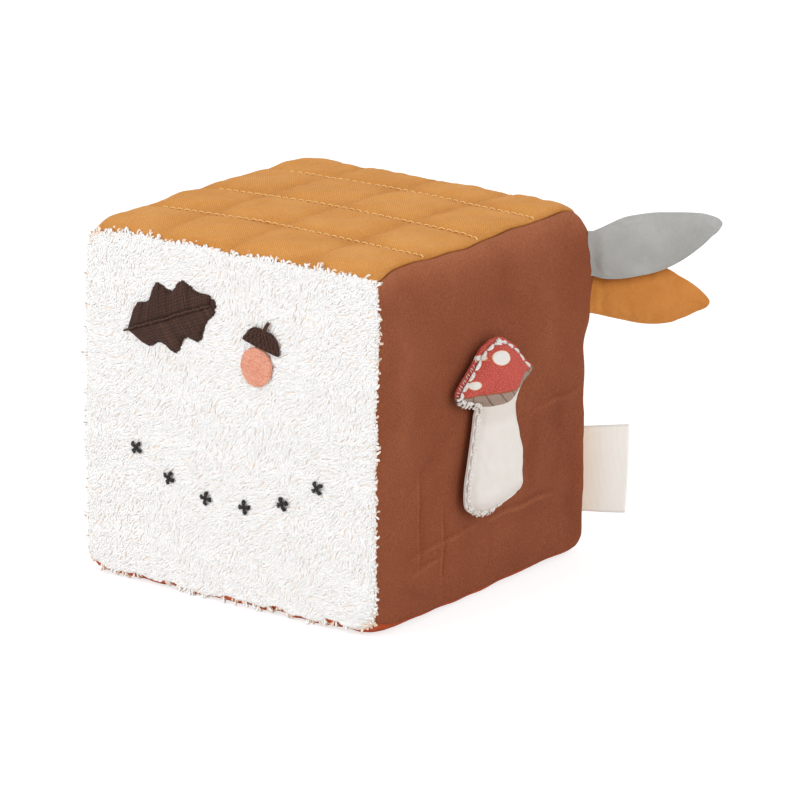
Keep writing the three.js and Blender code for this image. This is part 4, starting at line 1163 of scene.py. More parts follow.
def cup_lattice(forward, seed):
    """Slanting threads both ways over the cup, and its short stalk."""
    random = np.random.default_rng(seed)
    t = np.linspace(0, 1, 7)
    paths = []
    for sign in (-1, 1):
        for start in np.linspace(-0.86, 0.86, 8):
            share = 0.03 + 0.9 * t
            place = np.clip(start + sign * 0.34 * (t - 0.5), -0.97, 0.97)
            aside = place * cup_half(share)
            height = CLEARANCE + 0.62 + 0.5 * np.sqrt(1 - 0.9 * place**2) + 0.05 * sign
            paths.append(on_motif(NUT_MOTIF, (share - 0.5) * CUP_LENGTH, aside, height, forward))
    for aside in (-0.55, 0.0, 0.55):
        along = CUP_LENGTH * 0.3 + STALK_LENGTH * t
        bend = aside * (1 - 0.3 * t) - 0.9 * t**2
        height = CLEARANCE + 0.95 - 0.35 * t + random.uniform(-0.05, 0.05)
        paths.append(on_motif(NUT_MOTIF, along, bend, height, forward))
    return threads(paths, 0.26)


def sprig_form(x, z, turn, seed):
    """Four petals, each of four stitches fanned from the middle, and a crossed knot over them."""
    random = np.random.default_rng(seed)
    t = np.linspace(0, 1, 6)
    paths = []

    def add_stitch(angle, radius, height):
        paths.append(on_towelling(x + radius * np.cos(angle), z + radius * np.sin(angle), height))

    for petal in range(4):
        for fan in (-0.3, -0.1, 0.1, 0.3):
            angle = turn + petal * TURN / 4 + fan + random.normal(0, 0.04)
            reach = SPRIG_RADIUS * random.uniform(0.9, 1.08) * (1 - 0.9 * fan * fan)
            height = 0.1 + 0.75 * arch(0.08 + 0.84 * t, 0.7) + random.uniform(0, 0.12)
            add_stitch(angle, 0.15 + (reach - 0.15) * t, height)
    radius = np.linspace(-0.7, 0.7, 6)
    for angle in (0.6, 2.2):
        add_stitch(turn + angle, radius, 0.75 + 0.35 * np.cos(radius / 0.9 * np.pi / 2))
    return threads(paths, 0.3, random)


def add_embroidery(dark, peach, black):
    leaf = [padding_form(LEAF_MOTIF, LEAF_MOTIF.length, leaf_motif_half),
            satin_half(-1, 71), satin_half(1, 72), midrib(73)]
    nut = [padding_form(NUT_MOTIF, NUT_MOTIF.length, nut_half),
           fill_rows(NUT_MOTIF.length, nut_half, 4.4, 74)]
    cup = [padding_form(NUT_MOTIF, CUP_LENGTH, cup_half, CUP_FORWARD),
           fill_rows(CUP_LENGTH, cup_half, 3.0, 75, CUP_FORWARD), cup_lattice(CUP_FORWARD, 76)]
    for name, forms, finish, slot, node in (
            ("embroidered_oak_leaf", leaf, dark, "dark_embroidery", "embroidered_leaf"),
            ("embroidered_acorn", nut, peach, "peach_embroidery", "embroidered_nut"),
            ("embroidered_acorn_cup", cup, dark, "dark_embroidery", "embroidered_cup")):
        add_piece(name, joined(forms), finish, replaces=[node])
    for index, (x, z, turn) in enumerate(zip(*sprig_places())):
        add_piece(f"sprig_stitches_{index + 1}", sprig_form(x, z, turn, 80 + index), black,
                  replaces=[f"embroidered_sprig_{index + 1}"])


# Toadstool

# Height as a share of the whole, then the left and right edges as shares of half the cap's width
TOADSTOOL_ROW_SHARES = np.array([
    (0, -0.338, -0.11), (0.012, -0.429, 0.087), (0.03, -0.525, 0.315), (0.05, -0.607, 0.562),
    (0.075, -0.685, 0.694), (0.11, -0.721, 0.785), (0.17, -0.73, 0.804), (0.23, -0.716, 0.804),
    (0.29, -0.681, 0.785), (0.37, -0.63, 0.74), (0.45, -0.584, 0.662), (0.52, -0.544, 0.6),
    (0.6, -0.511, 0.584), (0.637, -0.49, 0.6), (0.668, -0.726, 0.639), (0.69, -0.904, 0.731),
    (0.715, -0.968, 0.877), (0.75, -1, 1), (0.775, -0.986, 0.963), (0.81, -0.9, 0.826),
    (0.855, -0.776, 0.689), (0.9, -0.626, 0.58), (0.94, -0.489, 0.425), (0.97, -0.365, 0.288),
    (0.99, -0.2, 0.183), (1, -0.11, 0.073),
])


# How the filling draws in the right edge under the cap and down the stem, and the cap's left
STEM_TOP_DRAW = Bump(64.0, 5.5, STEM_DRAWN_IN)
STEM_DRAWS = [Bump(42.0, 4.5, 1.0), Bump(53.5, 5.5, 1.6), Bump(31.7, 1.3, -1.5)]
CAP_DRAW = Bump(82.0, 4.5, 1.3)


def fine_rows(rows, steps):
    """More rows between those given, on a Catmull-Rom curve through them."""
    padded = np.concatenate([[2 * rows[0] - rows[1]], rows, [2 * rows[-1] - rows[-2]]])
    before, here, there, after = [padded[i:len(padded) - 3 + i, None] for i in range(4)]
    t = (np.arange(steps) / steps)[None, :, None]
    bend = 2 * before - 5 * here + 4 * there - after
    curve = here + t / 2 * (there - before + t * (bend + t * (3 * (here - there) + after - before)))
    return np.concatenate([curve.reshape(-1, 3), rows[-1:]])


def toadstool_edges(rows):
    """The left and right edge in each row, and its height. The filling draws the cloth in, along
    the right of the stem, at its foot and on the left slope of the cap, and lets it out at the
    foot's right corner."""
    z = TOADSTOOL_FOOT + rows[:, 0] * TOADSTOOL_HEIGHT
    edges = TOADSTOOL_SHIFT + rows[:, 1:] * TOADSTOOL_CAP / 2
    under_cap = bumps(z, [STEM_TOP_DRAW]) * ramp(z, 72, 67)
    down_stem = STEM_DRAWN_IN * ramp(z, 52, 46) * ramp(z, 30, 37)
    edges[:, 1] -= under_cap + down_stem + bumps(z, STEM_DRAWS)
    edges[:, 0] += bumps(z, [CAP_DRAW])
    return edges, z + FOOT_DRAWN_UP * ramp(z, 42, 30)


def toadstool_outline(rows):
    """Once round, up the right edge and down the left, as (y, z)."""
    edges, z = toadstool_edges(rows)
    right = np.stack([edges[:, 1], z], -1)
    left = np.stack([edges[:, 0], z], -1)
    return np.concatenate([right, left[::-1]])


def distance_to(outline, places):
    """The distance from each place to a closed outline: the least of those to its sides."""
    side = np.roll(outline, -1, axis=0) - outline
    offset = places[..., None, :] - outline
    share = (offset * side).sum(-1) / np.maximum((side * side).sum(-1), TINY)
    nearest = offset - np.clip(share, 0, 1)[..., None] * side
    return np.linalg.norm(nearest, axis=-1).min(-1)


def toadstool_margin(places):
    """How wide the flat sewn margin is. It is narrower along the right of the stem."""
    y, z = places[..., 0], places[..., 1]
    right = ramp(y, 1, 5) * ramp(z, 70, 56) * ramp(z, 31, 43)
    return TOADSTOOL_MARGIN * (0.85 - 0.35 * right)


def swelling(distance, margin):
    """The swelling rises like a quarter of an ellipse from the sewn margin."""
    inside = np.clip((distance - margin) / TOADSTOOL_SLOPE, 0, 1)
    return np.sqrt(1 - (1 - inside) ** 2)


def toadstool_grid():
    """Places on the toadstool as (y, z), rows by across, their distances to the edge, and the
    outline."""
    rows = fine_rows(TOADSTOOL_ROW_SHARES, 3)
    outline = toadstool_outline(rows)
    across = crowded_places(39)
    edges, heights = toadstool_edges(rows)
    middle, half = edges.mean(1), (edges[:, 1] - edges[:, 0]) / 2
    y = middle + across[:, None] * half
    z = np.broadcast_to(heights, y.shape)
    places = np.stack([y, z], -1)
    return places, distance_to(outline, places), outline


def add_toadstool(finish):
    places, distance, outline = toadstool_grid()
    margin = toadstool_margin(places)
    rise = swelling(distance, margin)
    inwards = ramp(distance, 0, TOADSTOOL_MARGIN)
    gap = SEWN_GAP + (CLEARANCE / 2 - SEWN_GAP) * inwards
    thick = TOADSTOOL_CLOTH * (0.6 + 0.4 * inwards)
    held = distance < margin + 0.2
    weave = np.concatenate([places, np.clip(distance / TOADSTOOL_SLOPE, 0, 1)[..., None]], -1)

    def surface(x):
        return np.concatenate([x[..., None], places], -1)

    plain = surface(TOADSTOOL_PLANE + gap + thick + TOADSTOOL_FRONT * rise)
    front = settled(plain, held, pressure=1.0, growth=0.02, cap=0.9, seed=91)
    front = plain + (front - plain) * ramp(distance, 0, 5)[..., None]
    inner = front.copy()
    inner[..., 0] = np.maximum(front[..., 0] - thick, TOADSTOOL_PLANE + gap * 0.3)
    made = add_piece("toadstool_print", closed_sheet(front, inner, weave), finish, level=1,
                     replaces=["toadstool_front_cloth"])
    upper = surface(TOADSTOOL_PLANE - gap - TOADSTOOL_BACK * rise)
    plain = surface(TOADSTOOL_PLANE - gap - thick - TOADSTOOL_BACK * rise)
    back = settled(plain, held, pressure=-0.6, growth=0.015, cap=0.25, seed=92)
    made = add_piece("toadstool_backing", closed_sheet(upper, back, weave), finish, level=1,
                     replaces=["toadstool_back_cloth"])
    return outline


PATH_STEP = 0.25
PATH_BLUR = 13  # how many steps of a path are averaged to round its corners


def inset_path(outline, inset):
    """The outline moved inwards and spaced evenly: places, headings, and inward directions."""
    closed = np.concatenate([outline, outline[:1]])
    travelled = np.concatenate([[0], np.cumsum(np.linalg.norm(np.diff(closed, axis=0), axis=1))])
    even = np.linspace(0, travelled[-1], int(travelled[-1] / PATH_STEP), endpoint=False)
    places = np.stack([np.interp(even, travelled, closed[:, k]) for k in range(2)], -1)
    reach = PATH_BLUR // 2
    blur = np.hanning(PATH_BLUR)
    blur /= blur.sum()
    wrapped = np.concatenate([places[-reach:], places, places[:reach]])
    smooth = np.stack([np.convolve(wrapped[:, k], blur, "valid") for k in range(2)], -1)
    ahead = normalised(np.roll(smooth, -1, axis=0) - np.roll(smooth, 1, axis=0))
    inwards = np.stack([-ahead[:, 1], ahead[:, 0]], -1)
    return smooth + inwards * inset, ahead, inwards


MARGIN_SURFACE = TOADSTOOL_PLANE + CLEARANCE / 2 + 0.9 * TOADSTOOL_CLOTH
CAP_FOOT_Z = 69.0
CHAIN_STITCH = 4.4
CHAIN_GAP = 0.5
CHAIN_INSET = 1.45
CHAIN_END = 16.5  # the chain stops here, short of the cap's right tip
OVERLOCK_SPACING = 5  # in steps of the path
YARN = 0.84
KNOT_OFFSET = (0.3, -1.9)
KNOT_LENGTH = 3.6
# Stitches wrapped over the edge: where on the path, their spacing in its steps, how far in they
# reach, their radius and their greatest slant
Whips = namedtuple("Whips", "places spacing reach radius slant")


def above_margin(places, rise):
    """Places on the flat sewn margin, lifted by rise, as points."""
    x = MARGIN_SURFACE + np.broadcast_to(rise, places.shape[:-1])
    return np.concatenate([x[..., None], places], -1)


def chain_stitches(outline):
    """Long stitches of two strands round the edge, all but the right side of the stem and the
    underside of the cap. The two strands of a stitch turn half a twist about each other."""
    random = np.random.default_rng(95)
    path, _, inwards = inset_path(outline, CHAIN_INSET)
    whole = int(round(CHAIN_STITCH / PATH_STEP))
    t = np.linspace(0, 1, 9)
    paths = []
    radii = []
    for start in range(0, len(path) - whole, whole):
        index = (start + (CHAIN_STITCH - CHAIN_GAP) / PATH_STEP * t).astype(int) % len(path)
        y, z = path[index[4]]
        on_stem_right = y > 4 and z < 70
        under_cap = abs(z - CAP_FOOT_Z) < 3.4 and y > -9
        on_cap = z > CAP_FOOT_Z
        at_right_tip = on_cap and (y > CHAIN_END or y > 12 and z < 75.5)
        if on_stem_right or under_cap or at_right_tip:
            continue
        fullness = 0.78 if on_cap and y > -3 else 1.0 if on_cap else 1.25
        lift, height, inset = (0.42, 0.45, 0.0) if on_cap else (0.0, 0.2, -0.35)
        phase = random.uniform(0, 1)
        for turned in (0, np.pi):
            twist = phase + np.pi * 0.55 * (t - 0.5) + turned
            spread = 0.4 * fullness * arch(t, 0.5)
            aside = spread * np.cos(twist)
            rise = lift + height * fullness * arch(t, 0.6) + 0.3 * spread * np.sin(twist)
            here = path[index] + inwards[index] * (aside + inset)[:, None]
            swell = swelling(CHAIN_INSET + aside + inset, toadstool_margin(here))
            paths.append(above_margin(here, rise + TOADSTOOL_FRONT * swell))
            radii.append(YARN / 2 * fullness * (0.55 + 0.45 * arch(t, 0.5)))
    masks = random.uniform(size=len(paths))
    return tubes(paths, np.array(radii), RIGHT.normal, 6, masks)


def overlock_stitches(outline):
    """Fine slanting stitches over the folded edge outside the chain, low on the left of the cap."""
    random = np.random.default_rng(96)
    path, ahead, inwards = inset_path(outline, 0.0)
    t = np.linspace(0, 1, 6)
    paths = []
    for start in range(0, len(path), OVERLOCK_SPACING):
        y, z = path[start]
        if not 71 < z < 85 or y > -9:
            continue
        inset = random.uniform(1.0, 1.4) * t - 0.2
        slant = 1 if (start // OVERLOCK_SPACING) % 2 else -0.5
        along = 0.45 * (t - 0.5) * slant + random.normal(0, 0.16)
        here = path[start] + inwards[start] * inset[:, None] + ahead[start] * along[:, None]
        rise = 0.34 * arch(0.1 + 0.8 * t) + 0.22 * t - 0.4
        paths.append(above_margin(here, rise))
    return tubes(paths, 0.14, RIGHT.normal, 4, random.uniform(size=len(paths)))


def whip_stitches(outline):
    """Thick stitches wrapped over the cap's lower left corner, looser ones over the stem's foot,
    and the thread's knot at the cap's top."""
    random = np.random.default_rng(97)
    path, ahead, inwards = inset_path(outline, 0.0)
    t = np.linspace(0, 1, 9)
    paths = []
    radii = []
    corner = (path[:, 0] < -11.5) & (path[:, 1] > 67.2) & (path[:, 1] < 73.0)
    foot = (path[:, 0] < 2.0) & (path[:, 1] < TOADSTOOL_FOOT + 4.6)
    rows = [Whips(corner, 8, 2.6, 0.48, 1.8), Whips(foot, 12, 1.5, 0.32, 3.0)]
    for row in rows:
        for start in np.flatnonzero(row.places)[::row.spacing]:
            inset = -0.35 + (row.reach + random.normal(0, 0.3)) * t
            slant = random.uniform(-0.6, row.slant) * (t - 0.5) + random.normal(0, 0.4)
            here = path[start] + inwards[start] * inset[:, None] + ahead[start] * slant[:, None]
            rise = -0.75 + (0.7 + row.radius) * arch(0.14 + 0.8 * t, 0.8)
            paths.append(above_margin(here, rise))
            radii.append(row.radius * YARN * random.uniform(0.75, 1.15))
    knot = path[np.argmax(path[:, 1])] + np.array(KNOT_OFFSET)
    for index, angle in enumerate((0.1, 0.7, 1.5, 2.2, 2.8)):
        heading = np.array([math.cos(angle), math.sin(angle)])
        here = knot + heading * (KNOT_LENGTH * (t - 0.5))[:, None]
        paths.append(above_margin(here, 0.1 + (0.6 + 0.09 * index) * arch(t, 0.7)))
        radii.append(YARN / 2)
    radii = np.array(radii)[:, None]
    return tubes(paths, radii, RIGHT.normal, 6, random.uniform(size=len(paths)))


def add_toadstool_stitches(outline, finish):
    forms = [chain_stitches(outline), overlock_stitches(outline), whip_stitches(outline)]
    add_piece("toadstool_hand_stitches", joined(forms), finish,
              replaces=["toadstool_edge_stitching"])


# Tabs in the upright seam

SEAM_CENTRE = (HALF - SEAM_RADIUS) * math.sqrt(2)
LEAF_EDGE = CLEARANCE / 2 + LEAF_CLOTH
FILM_ROOM = CRINKLE_FILM / 2 + CLEARANCE
LEAF_OFFSET = FILM_ROOM + LEAF_CLOTH + LEAF_PUFF + CLEARANCE / 2


def bend_line(root_radius, offset, bulge):
    """How far out along the diagonal a tab's bending line is, so that its round root just clears
    the seam."""
    clear = SEAM_RADIUS + root_radius + CLEARANCE
    return SEAM_CENTRE + bulge + math.sqrt(clear * clear - offset * offset)


def tab_points(bend, offset, along, facing, z):
    """Points of a tab from its bending line: along runs outwards and facing to its front."""
    out = (bend + along) * DIAGONAL_SHARE
    side = (offset + facing) * DIAGONAL_SHARE
    return np.stack(np.broadcast_arrays(out + side, out - side, z), -1)


ROOT_LENGTH = 2.2  # how far a tab's cloth runs back from its bending line, into the seam
LEAF_ROOT_OFFSET = 0.85  # in the seam, where a leaf lies closer to the other one
LEAF_TUCK = 6.0  # over this length it moves across to its place beyond the seam
LEAF_END_FADE = 0.06  # of its length
TAPE_CREASES = [Bump(1.6, 0.4, 0.14), Bump(2.8, 0.4, 0.14), Bump(3.9, 0.4, 0.14)]


def add_tab_piece(name, form, finish, replaces, level=1):
    """A tab's cloth, from the seam out along the tab, with its modifiers applied and its place
    baked into the mesh. It rides on no body.
    """
    made = add_piece(name, form, finish, None, replaces, level)
    if level:
        finished_mesh(made)
    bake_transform(made)
    return made


def leaf_edges(leaf, share):
    """The lower and upper edges of a leaf, on a Catmull-Rom curve through its rows."""
    rows = fine_rows(leaf.row_shares, 6)
    return [leaf_z(leaf, np.interp(share, rows[:, 0], rows[:, k])) for k in (1, 2)]


def add_leaf(name, leaf, finish, seed):
    """Two cloths sewn round their edge. Each is a grid of stations along the leaf by places
    across it, and swells between its edges before it settles. The weave's share is a painted
    shadow: it darkens the mustard leaf where it lies behind the grey one."""
    bend = bend_line(LEAF_EDGE, LEAF_OFFSET, LEAF_BULGE)
    shares = 1 - (1 - np.linspace(0, 1, 62)) ** 1.25
    rooted = -ROOT_LENGTH * np.array([1, 0.75, 0.5, 0.25])
    stations = np.concatenate([rooted, shares * leaf.length])
    along, across = np.meshgrid(stations, crowded_places(31), indexing="ij")
    tucked = 1 - ramp(along, -ROOT_LENGTH, LEAF_TUCK - ROOT_LENGTH)
    offset = leaf.side * (LEAF_OFFSET + (LEAF_ROOT_OFFSET - LEAF_OFFSET) * tucked)
    share = along / leaf.length
    low, high = leaf_edges(leaf, share)
    z = (low + high + across * (high - low)) / 2
    end_fade = np.clip((1 - share) / LEAF_END_FADE, 0, 1)
    edge_fade = np.clip(4 * (1 - np.abs(across)), 0, 1) * end_fade
    roomy = ramp(edge_fade, 0, 1) * ramp(share, 0, LEAF_END_FADE)
    inside = SEWN_GAP + (FILM_ROOM - SEWN_GAP) * roomy
    puff = LEAF_PUFF * (1 - across**2) * arch(np.clip(share, 0, 1))
    outside = inside + LEAF_CLOTH + puff
    held = (np.abs(across) > 0.96) | (share > 0.975) | (share < 0.01)
    # painted shadow of the grey leaf on the mustard leaf's upper part
    above_grey = z - leaf_edges(GREY_LEAF, along / GREY_LEAF.length)[0]
    behind = ramp(above_grey, -4.5, 0.5) * (leaf.side < 0)
    weave = np.stack([along, z - (low + high) / 2, behind], -1)
    for face, sign in (("front", 1), ("back", -1)):
        plain = tab_points(bend, offset, along, sign * outside, z)
        shown = settled(plain, held, pressure=0.7 * sign, growth=0.02, cap=0.55, seed=seed + sign)
        hidden = tab_points(bend, offset, along, sign * inside, z)
        outer, inner = (shown, hidden) if sign > 0 else (hidden, shown)
        form = closed_sheet(outer, inner, weave)
        made = add_tab_piece(f"{name}_{face}_piece", form, finish,
                             [f"{name}_{face}_cloth"])


def add_tape_loop(finish):
    """A tape folded in half. Its middle line runs out from the seam, round the fold and back, and
    each of its rows rises or falls a little. Between the seam and the fold it bows out, with
    three small creases near the seam, and leans over."""
    root_radius = TAPE + TAPE_SLOT / 2
    bend = bend_line(root_radius, 0, TAPE_BULGE)
    layer = (TAPE + TAPE_SLOT) / 2
    fold = TAPE_LENGTH - root_radius
    straight = np.linspace(-ROOT_LENGTH, fold, TAPE_STATIONS)
    angles = np.linspace(np.pi / 2, -np.pi / 2, 13)[1:-1]
    along = np.concatenate([straight, fold + layer * np.cos(angles), straight[::-1]])
    front = np.full(TAPE_STATIONS, layer)
    facing = np.concatenate([front, layer * np.sin(angles), -front])
    travelled = np.concatenate([[0], np.cumsum(np.hypot(np.diff(along), np.diff(facing)))])
    ahead = normalised(np.gradient(np.stack([along, facing], -1), axis=0))
    along, facing, side = along[:, None], facing[:, None], np.sign(facing)[:, None]
    share = np.linspace(0, 1, 33)[None, :]
    reach = np.clip(along / TAPE_LENGTH, 0, 1)
    from_foot = 1 - share
    z = TAPE_FOOT + TAPE_WIDTH * share + TAPE_FOOT_RISE * (1 - reach) ** 1.5 * from_foot**3
    shorter = -0.9 * reach * from_foot**2 - 0.25 * reach * share**4
    bow = TAPE_BOW * arch(np.clip(along / fold, 0, 1)) * arch(share, 0.6)
    crease = bumps(along, TAPE_CREASES) * (0.7 + 0.3 * np.cos(9 * share))
    lean = TAPE_LEAN * reach * np.sin(share * 2.6 + 0.5)
    layers = []
    for half in (TAPE / 2, -TAPE / 2):
        here_along = along - ahead[:, 1:] * half + shorter
        here_facing = facing + ahead[:, :1] * half + side * (bow - crease) + lean
        layers.append(tab_points(bend, 0.0, here_along, here_facing, z))
    # the share is painted shade near the seam, where the tape goes in
    weave = np.stack(np.broadcast_arrays(travelled[:, None], z, (1 - reach) ** 3), -1)
    made = add_tab_piece("folded_tape", closed_sheet(*layers, weave), finish,
                         ["tape_loop"], level=0)


# Stuffing and the rattle

ROUGHNESS_INWARDS = 1.2  # keeps the roughened surface inside its solid


def copied_solid(name, node, finish, voxel, roughen, size, seed):
    """A soft solid inside the block, roughened: its mesh is merged and remeshed, and each point
    moves along its normal by smooth noise."""
    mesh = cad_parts[node].data.copy()
    mesh.materials.clear()
    made = bpy.data.objects.new(name, mesh)
    bpy.context.scene.collection.objects.link(made)
    weld = made.modifiers.new("weld", "WELD")
    weld.merge_threshold = 1e-6
    remesh = made.modifiers.new("remesh", "REMESH")
    remesh.mode = "VOXEL"
    remesh.voxel_size = voxel * MM
    final = finished_mesh(made)
    points = np.empty(len(final.vertices) * 3, np.float32)
    normals = np.empty(len(final.vertices) * 3, np.float32)
    final.vertices.foreach_get("co", points)
    final.vertices.foreach_get("normal", normals)
    points = points.reshape(-1, 3).astype(float)
    push = roughen * MM * (waves(points / MM, size, seed) - ROUGHNESS_INWARDS)
    moved = points + normals.reshape(-1, 3) * push[:, None]
    final.vertices.foreach_set("co", moved.astype(np.float32).ravel())
    final.update()
    final.polygons.foreach_set("use_smooth", np.ones(len(final.polygons), bool))
    final.materials.clear()
    final.materials.append(finish)
    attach(made, "block")
    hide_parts(node)


# Finishes

def linear(red, green, blue):
    """A colour given as it looks on a screen, from 0 to 255, as the light it stands for."""
    shares = [value / 255 for value in (red, green, blue)]
    return (*(share / 12.92 if share <= 0.04045 else ((share + 0.055) / 1.055) ** 2.4
              for share in shares), 1.0)


def tones(deep, colour, pale):
    """The darkest, the usual and the palest colour of a cloth or thread."""
    return [linear(*values) for values in (deep, colour, pale)]


def operator(operation, reflected=False):
    """An operator that adds a Math node. Reflected, its two values change places."""
    def add_node(shade, other):
        values = (other, shade) if reflected else (shade, other)
        return shade.math(operation, *values)
    return add_node


class Shade:
    """A value on a shader's socket. Sums, products and powers of it add Math nodes."""

    __add__, __radd__ = operator("ADD"), operator("ADD", True)
    __sub__, __rsub__ = operator("SUBTRACT"), operator("SUBTRACT", True)
    __mul__, __rmul__ = operator("MULTIPLY"), operator("MULTIPLY", True)
    __truediv__, __rtruediv__ = operator("DIVIDE"), operator("DIVIDE", True)
    __pow__ = operator("POWER")

    def __init__(self, finish, socket):
        self.finish = finish
        self.socket = socket

    def math(self, operation, *values):
        sockets = dict(enumerate(values))
        return self.finish.node("ShaderNodeMath", {"operation": operation}, sockets)

    def sine(self):
        return self.math("SINE", self)

    def absolute(self):
        return self.math("ABSOLUTE", self)

    def most(self, other):
        return self.math("MAXIMUM", self, other)


class Finish:
    """A material and the nodes that make it. The world's nodes are made in the same way."""

    def __init__(self, name, world=None):
        self.material = world or bpy.data.materials.new(name)
        self.material.use_nodes = True
        self.tree = self.material.node_tree
        self.tree.nodes.clear()

    def node(self, kind, settings, sockets, output=0):
        """Adds a node of any kind: its settings first, then the values or links of its sockets."""
        made = self.tree.nodes.new(kind)
        for name, value in settings.items():
            if name == "stops":
                self.set_stops(made.color_ramp, value)
            else:
                setattr(made, name, value)
        for name, value in sockets.items():
            if isinstance(value, Shade):
                self.tree.links.new(value.socket, made.inputs[name])
            else:
                made.inputs[name].default_value = value
        return Shade(self, made.outputs[output]) if made.outputs else None

    @staticmethod
    def set_stops(ramp, stops):
        while len(ramp.elements) < len(stops):
            ramp.elements.new(1.0)
        for element, (position, colour) in zip(ramp.elements, stops):
            element.position = position
            element.color = colour

    def weave(self):
        """The piece's own place along and across its cloth or thread, and its share."""
        vector = self.node("ShaderNodeAttribute", {"attribute_name": "weave"}, {}, 1)
        return [self.node("ShaderNodeSeparateXYZ", {}, {0: vector}, axis) for axis in range(3)]

    def place(self):
        """The place on the object in millimetres, as a vector."""
        spot = self.node("ShaderNodeTexCoord", {}, {}, 3)
        return self.node("ShaderNodeVectorMath", {"operation": "SCALE"}, {0: spot, "Scale": 1 / MM})

    def vector(self, x, y):
        return self.node("ShaderNodeCombineXYZ", {}, {0: x, 1: y})

    def noise(self, place, size, detail=2.0, roughness=0.5):
        """Noise from 0 to 1 whose blotches are about this many millimetres across."""
        sockets = {"Vector": place, "Scale": 1 / size, "Detail": detail, "Roughness": roughness}
        return self.node("ShaderNodeTexNoise", {}, sockets)

    def step(self, value, low, high):
        """0 at low, 1 at high and smooth between them."""
        sockets = {"Value": value, "From Min": low, "From Max": high}
        return self.node("ShaderNodeMapRange", {"interpolation_type": "SMOOTHSTEP"}, sockets)

    def mix(self, share, first, second):
        sockets = {0: share, 6: first, 7: second}
        return self.node("ShaderNodeMix", {"data_type": "RGBA"}, sockets, 2)

    def toned(self, tone, three_tones):
        """The colour of a tone from 0 to 1, on a ramp through the three colours of a cloth."""
        stops = list(zip((0.0, 0.5, 1.0), three_tones))
        return self.node("ShaderNodeValToRGB", {"stops": stops}, {0: tone})

    def bump(self, height, distance):
        sockets = {"Height": height, "Distance": distance * MM, "Strength": 1.0}
        return self.node("ShaderNodeBump", {}, sockets)

    def surface(self, sockets):
        """The shader and the output. Gives back the finished material."""
        shader = self.node("ShaderNodeBsdfPrincipled", {}, sockets)
        self.node("ShaderNodeOutputMaterial", {}, {"Surface": shader})
        return self.material


# A cotton's three tones, the pitch of its threads, whether it is a twill, how much its weave, its
# blotches and its speckle change its tone, the depth of its weave and its sheen
Cotton = namedtuple("Cotton", "tones pitch twill contrast blotch blotch_size speckle relief sheen")
SPECKLE_SIZE = 0.55
TAPE_RIB = 0.42


def woven(finish, cotton, along, across):
    """The height of the weave from 0 to 1. A twill has slanting ribs broken by its weft, and a
    plain weave is a small check. The threads wander, so that the weave is never quite even."""
    spot = finish.vector(along, across)
    sway = (finish.noise(spot, 5.0, 1.0) - 0.5) * 0.9
    warp = along + sway
    weft = across - sway * 0.6
    turn = TURN / cotton.pitch
    if cotton.twill:
        ribs = ((warp + weft) * turn * DIAGONAL_SHARE).sine()
        breaks = (warp * turn * 1.35).sine() * (weft * turn * 0.68).sine()
        return (ribs * 0.66 + breaks * 0.34) * 0.5 + 0.5
    return ((warp * turn).sine() * (weft * turn).sine()) * 0.5 + 0.5


def cotton_finish(name, cotton, wear_and_painted_light=0.0, painted_shade=0.0):
    """Woven cotton: the weave, larger blotches of colour and a fine speckle of lint. The share in
    the weave lightens worn folds, partly as a painted highlight, and paints shade in their
    hollows and light in the band below a top edge. In the quilted grooves, and on the mustard
    leaf under the grey one, it paints shade."""
    finish = Finish(name)
    along, across, share = finish.weave()
    weave = woven(finish, cotton, along, across)
    place = finish.place()
    blotch = finish.noise(place, cotton.blotch_size, 3.0, 0.55)
    speckle = finish.noise(place, SPECKLE_SIZE, 1.0, 0.6)
    tone = (weave - 0.5) * cotton.contrast + (blotch - 0.5) * cotton.blotch
    tone = tone + (speckle - 0.5) * cotton.speckle + 0.5
    # worn folds lighten with a painted highlight; their hollows get painted shade, and the band
    # below a top edge painted light
    if wear_and_painted_light:
        tone = tone + share * wear_and_painted_light
    # painted shade: the quilted grooves, and the mustard leaf where the grey one shadows it
    if painted_shade:
        tone = tone - share * painted_shade
    return finish.surface({
        "Base Color": finish.toned(tone, cotton.tones),
        "Roughness": 0.97 - weave * 0.12,
        "Normal": finish.bump(weave + speckle * 0.5, cotton.relief),
        "Sheen Weight": cotton.sheen,
        "Sheen Roughness": 0.5,
        "Specular IOR Level": 0.12,
    })


def thread_finish(name, tones, lay=0.8, gloss=0.6):
    """Twisted thread: ribs that wind round it, and strands that differ a little in colour."""
    finish = Finish(name)
    along, around, share = finish.weave()
    ribs = ((along / lay + around) * TURN).sine() * 0.5 + 0.5
    lint = finish.noise(finish.place(), 0.7, 1.0)
    tone = ribs * 0.3 + share * 0.3 + lint * 0.5 - 0.05
    return finish.surface({
        "Base Color": finish.toned(tone, tones),
        "Roughness": gloss + ribs * 0.15,
        "Normal": finish.bump(ribs, 0.06),
        "Sheen Weight": 0.03,
        "Specular IOR Level": 0.2,
    })


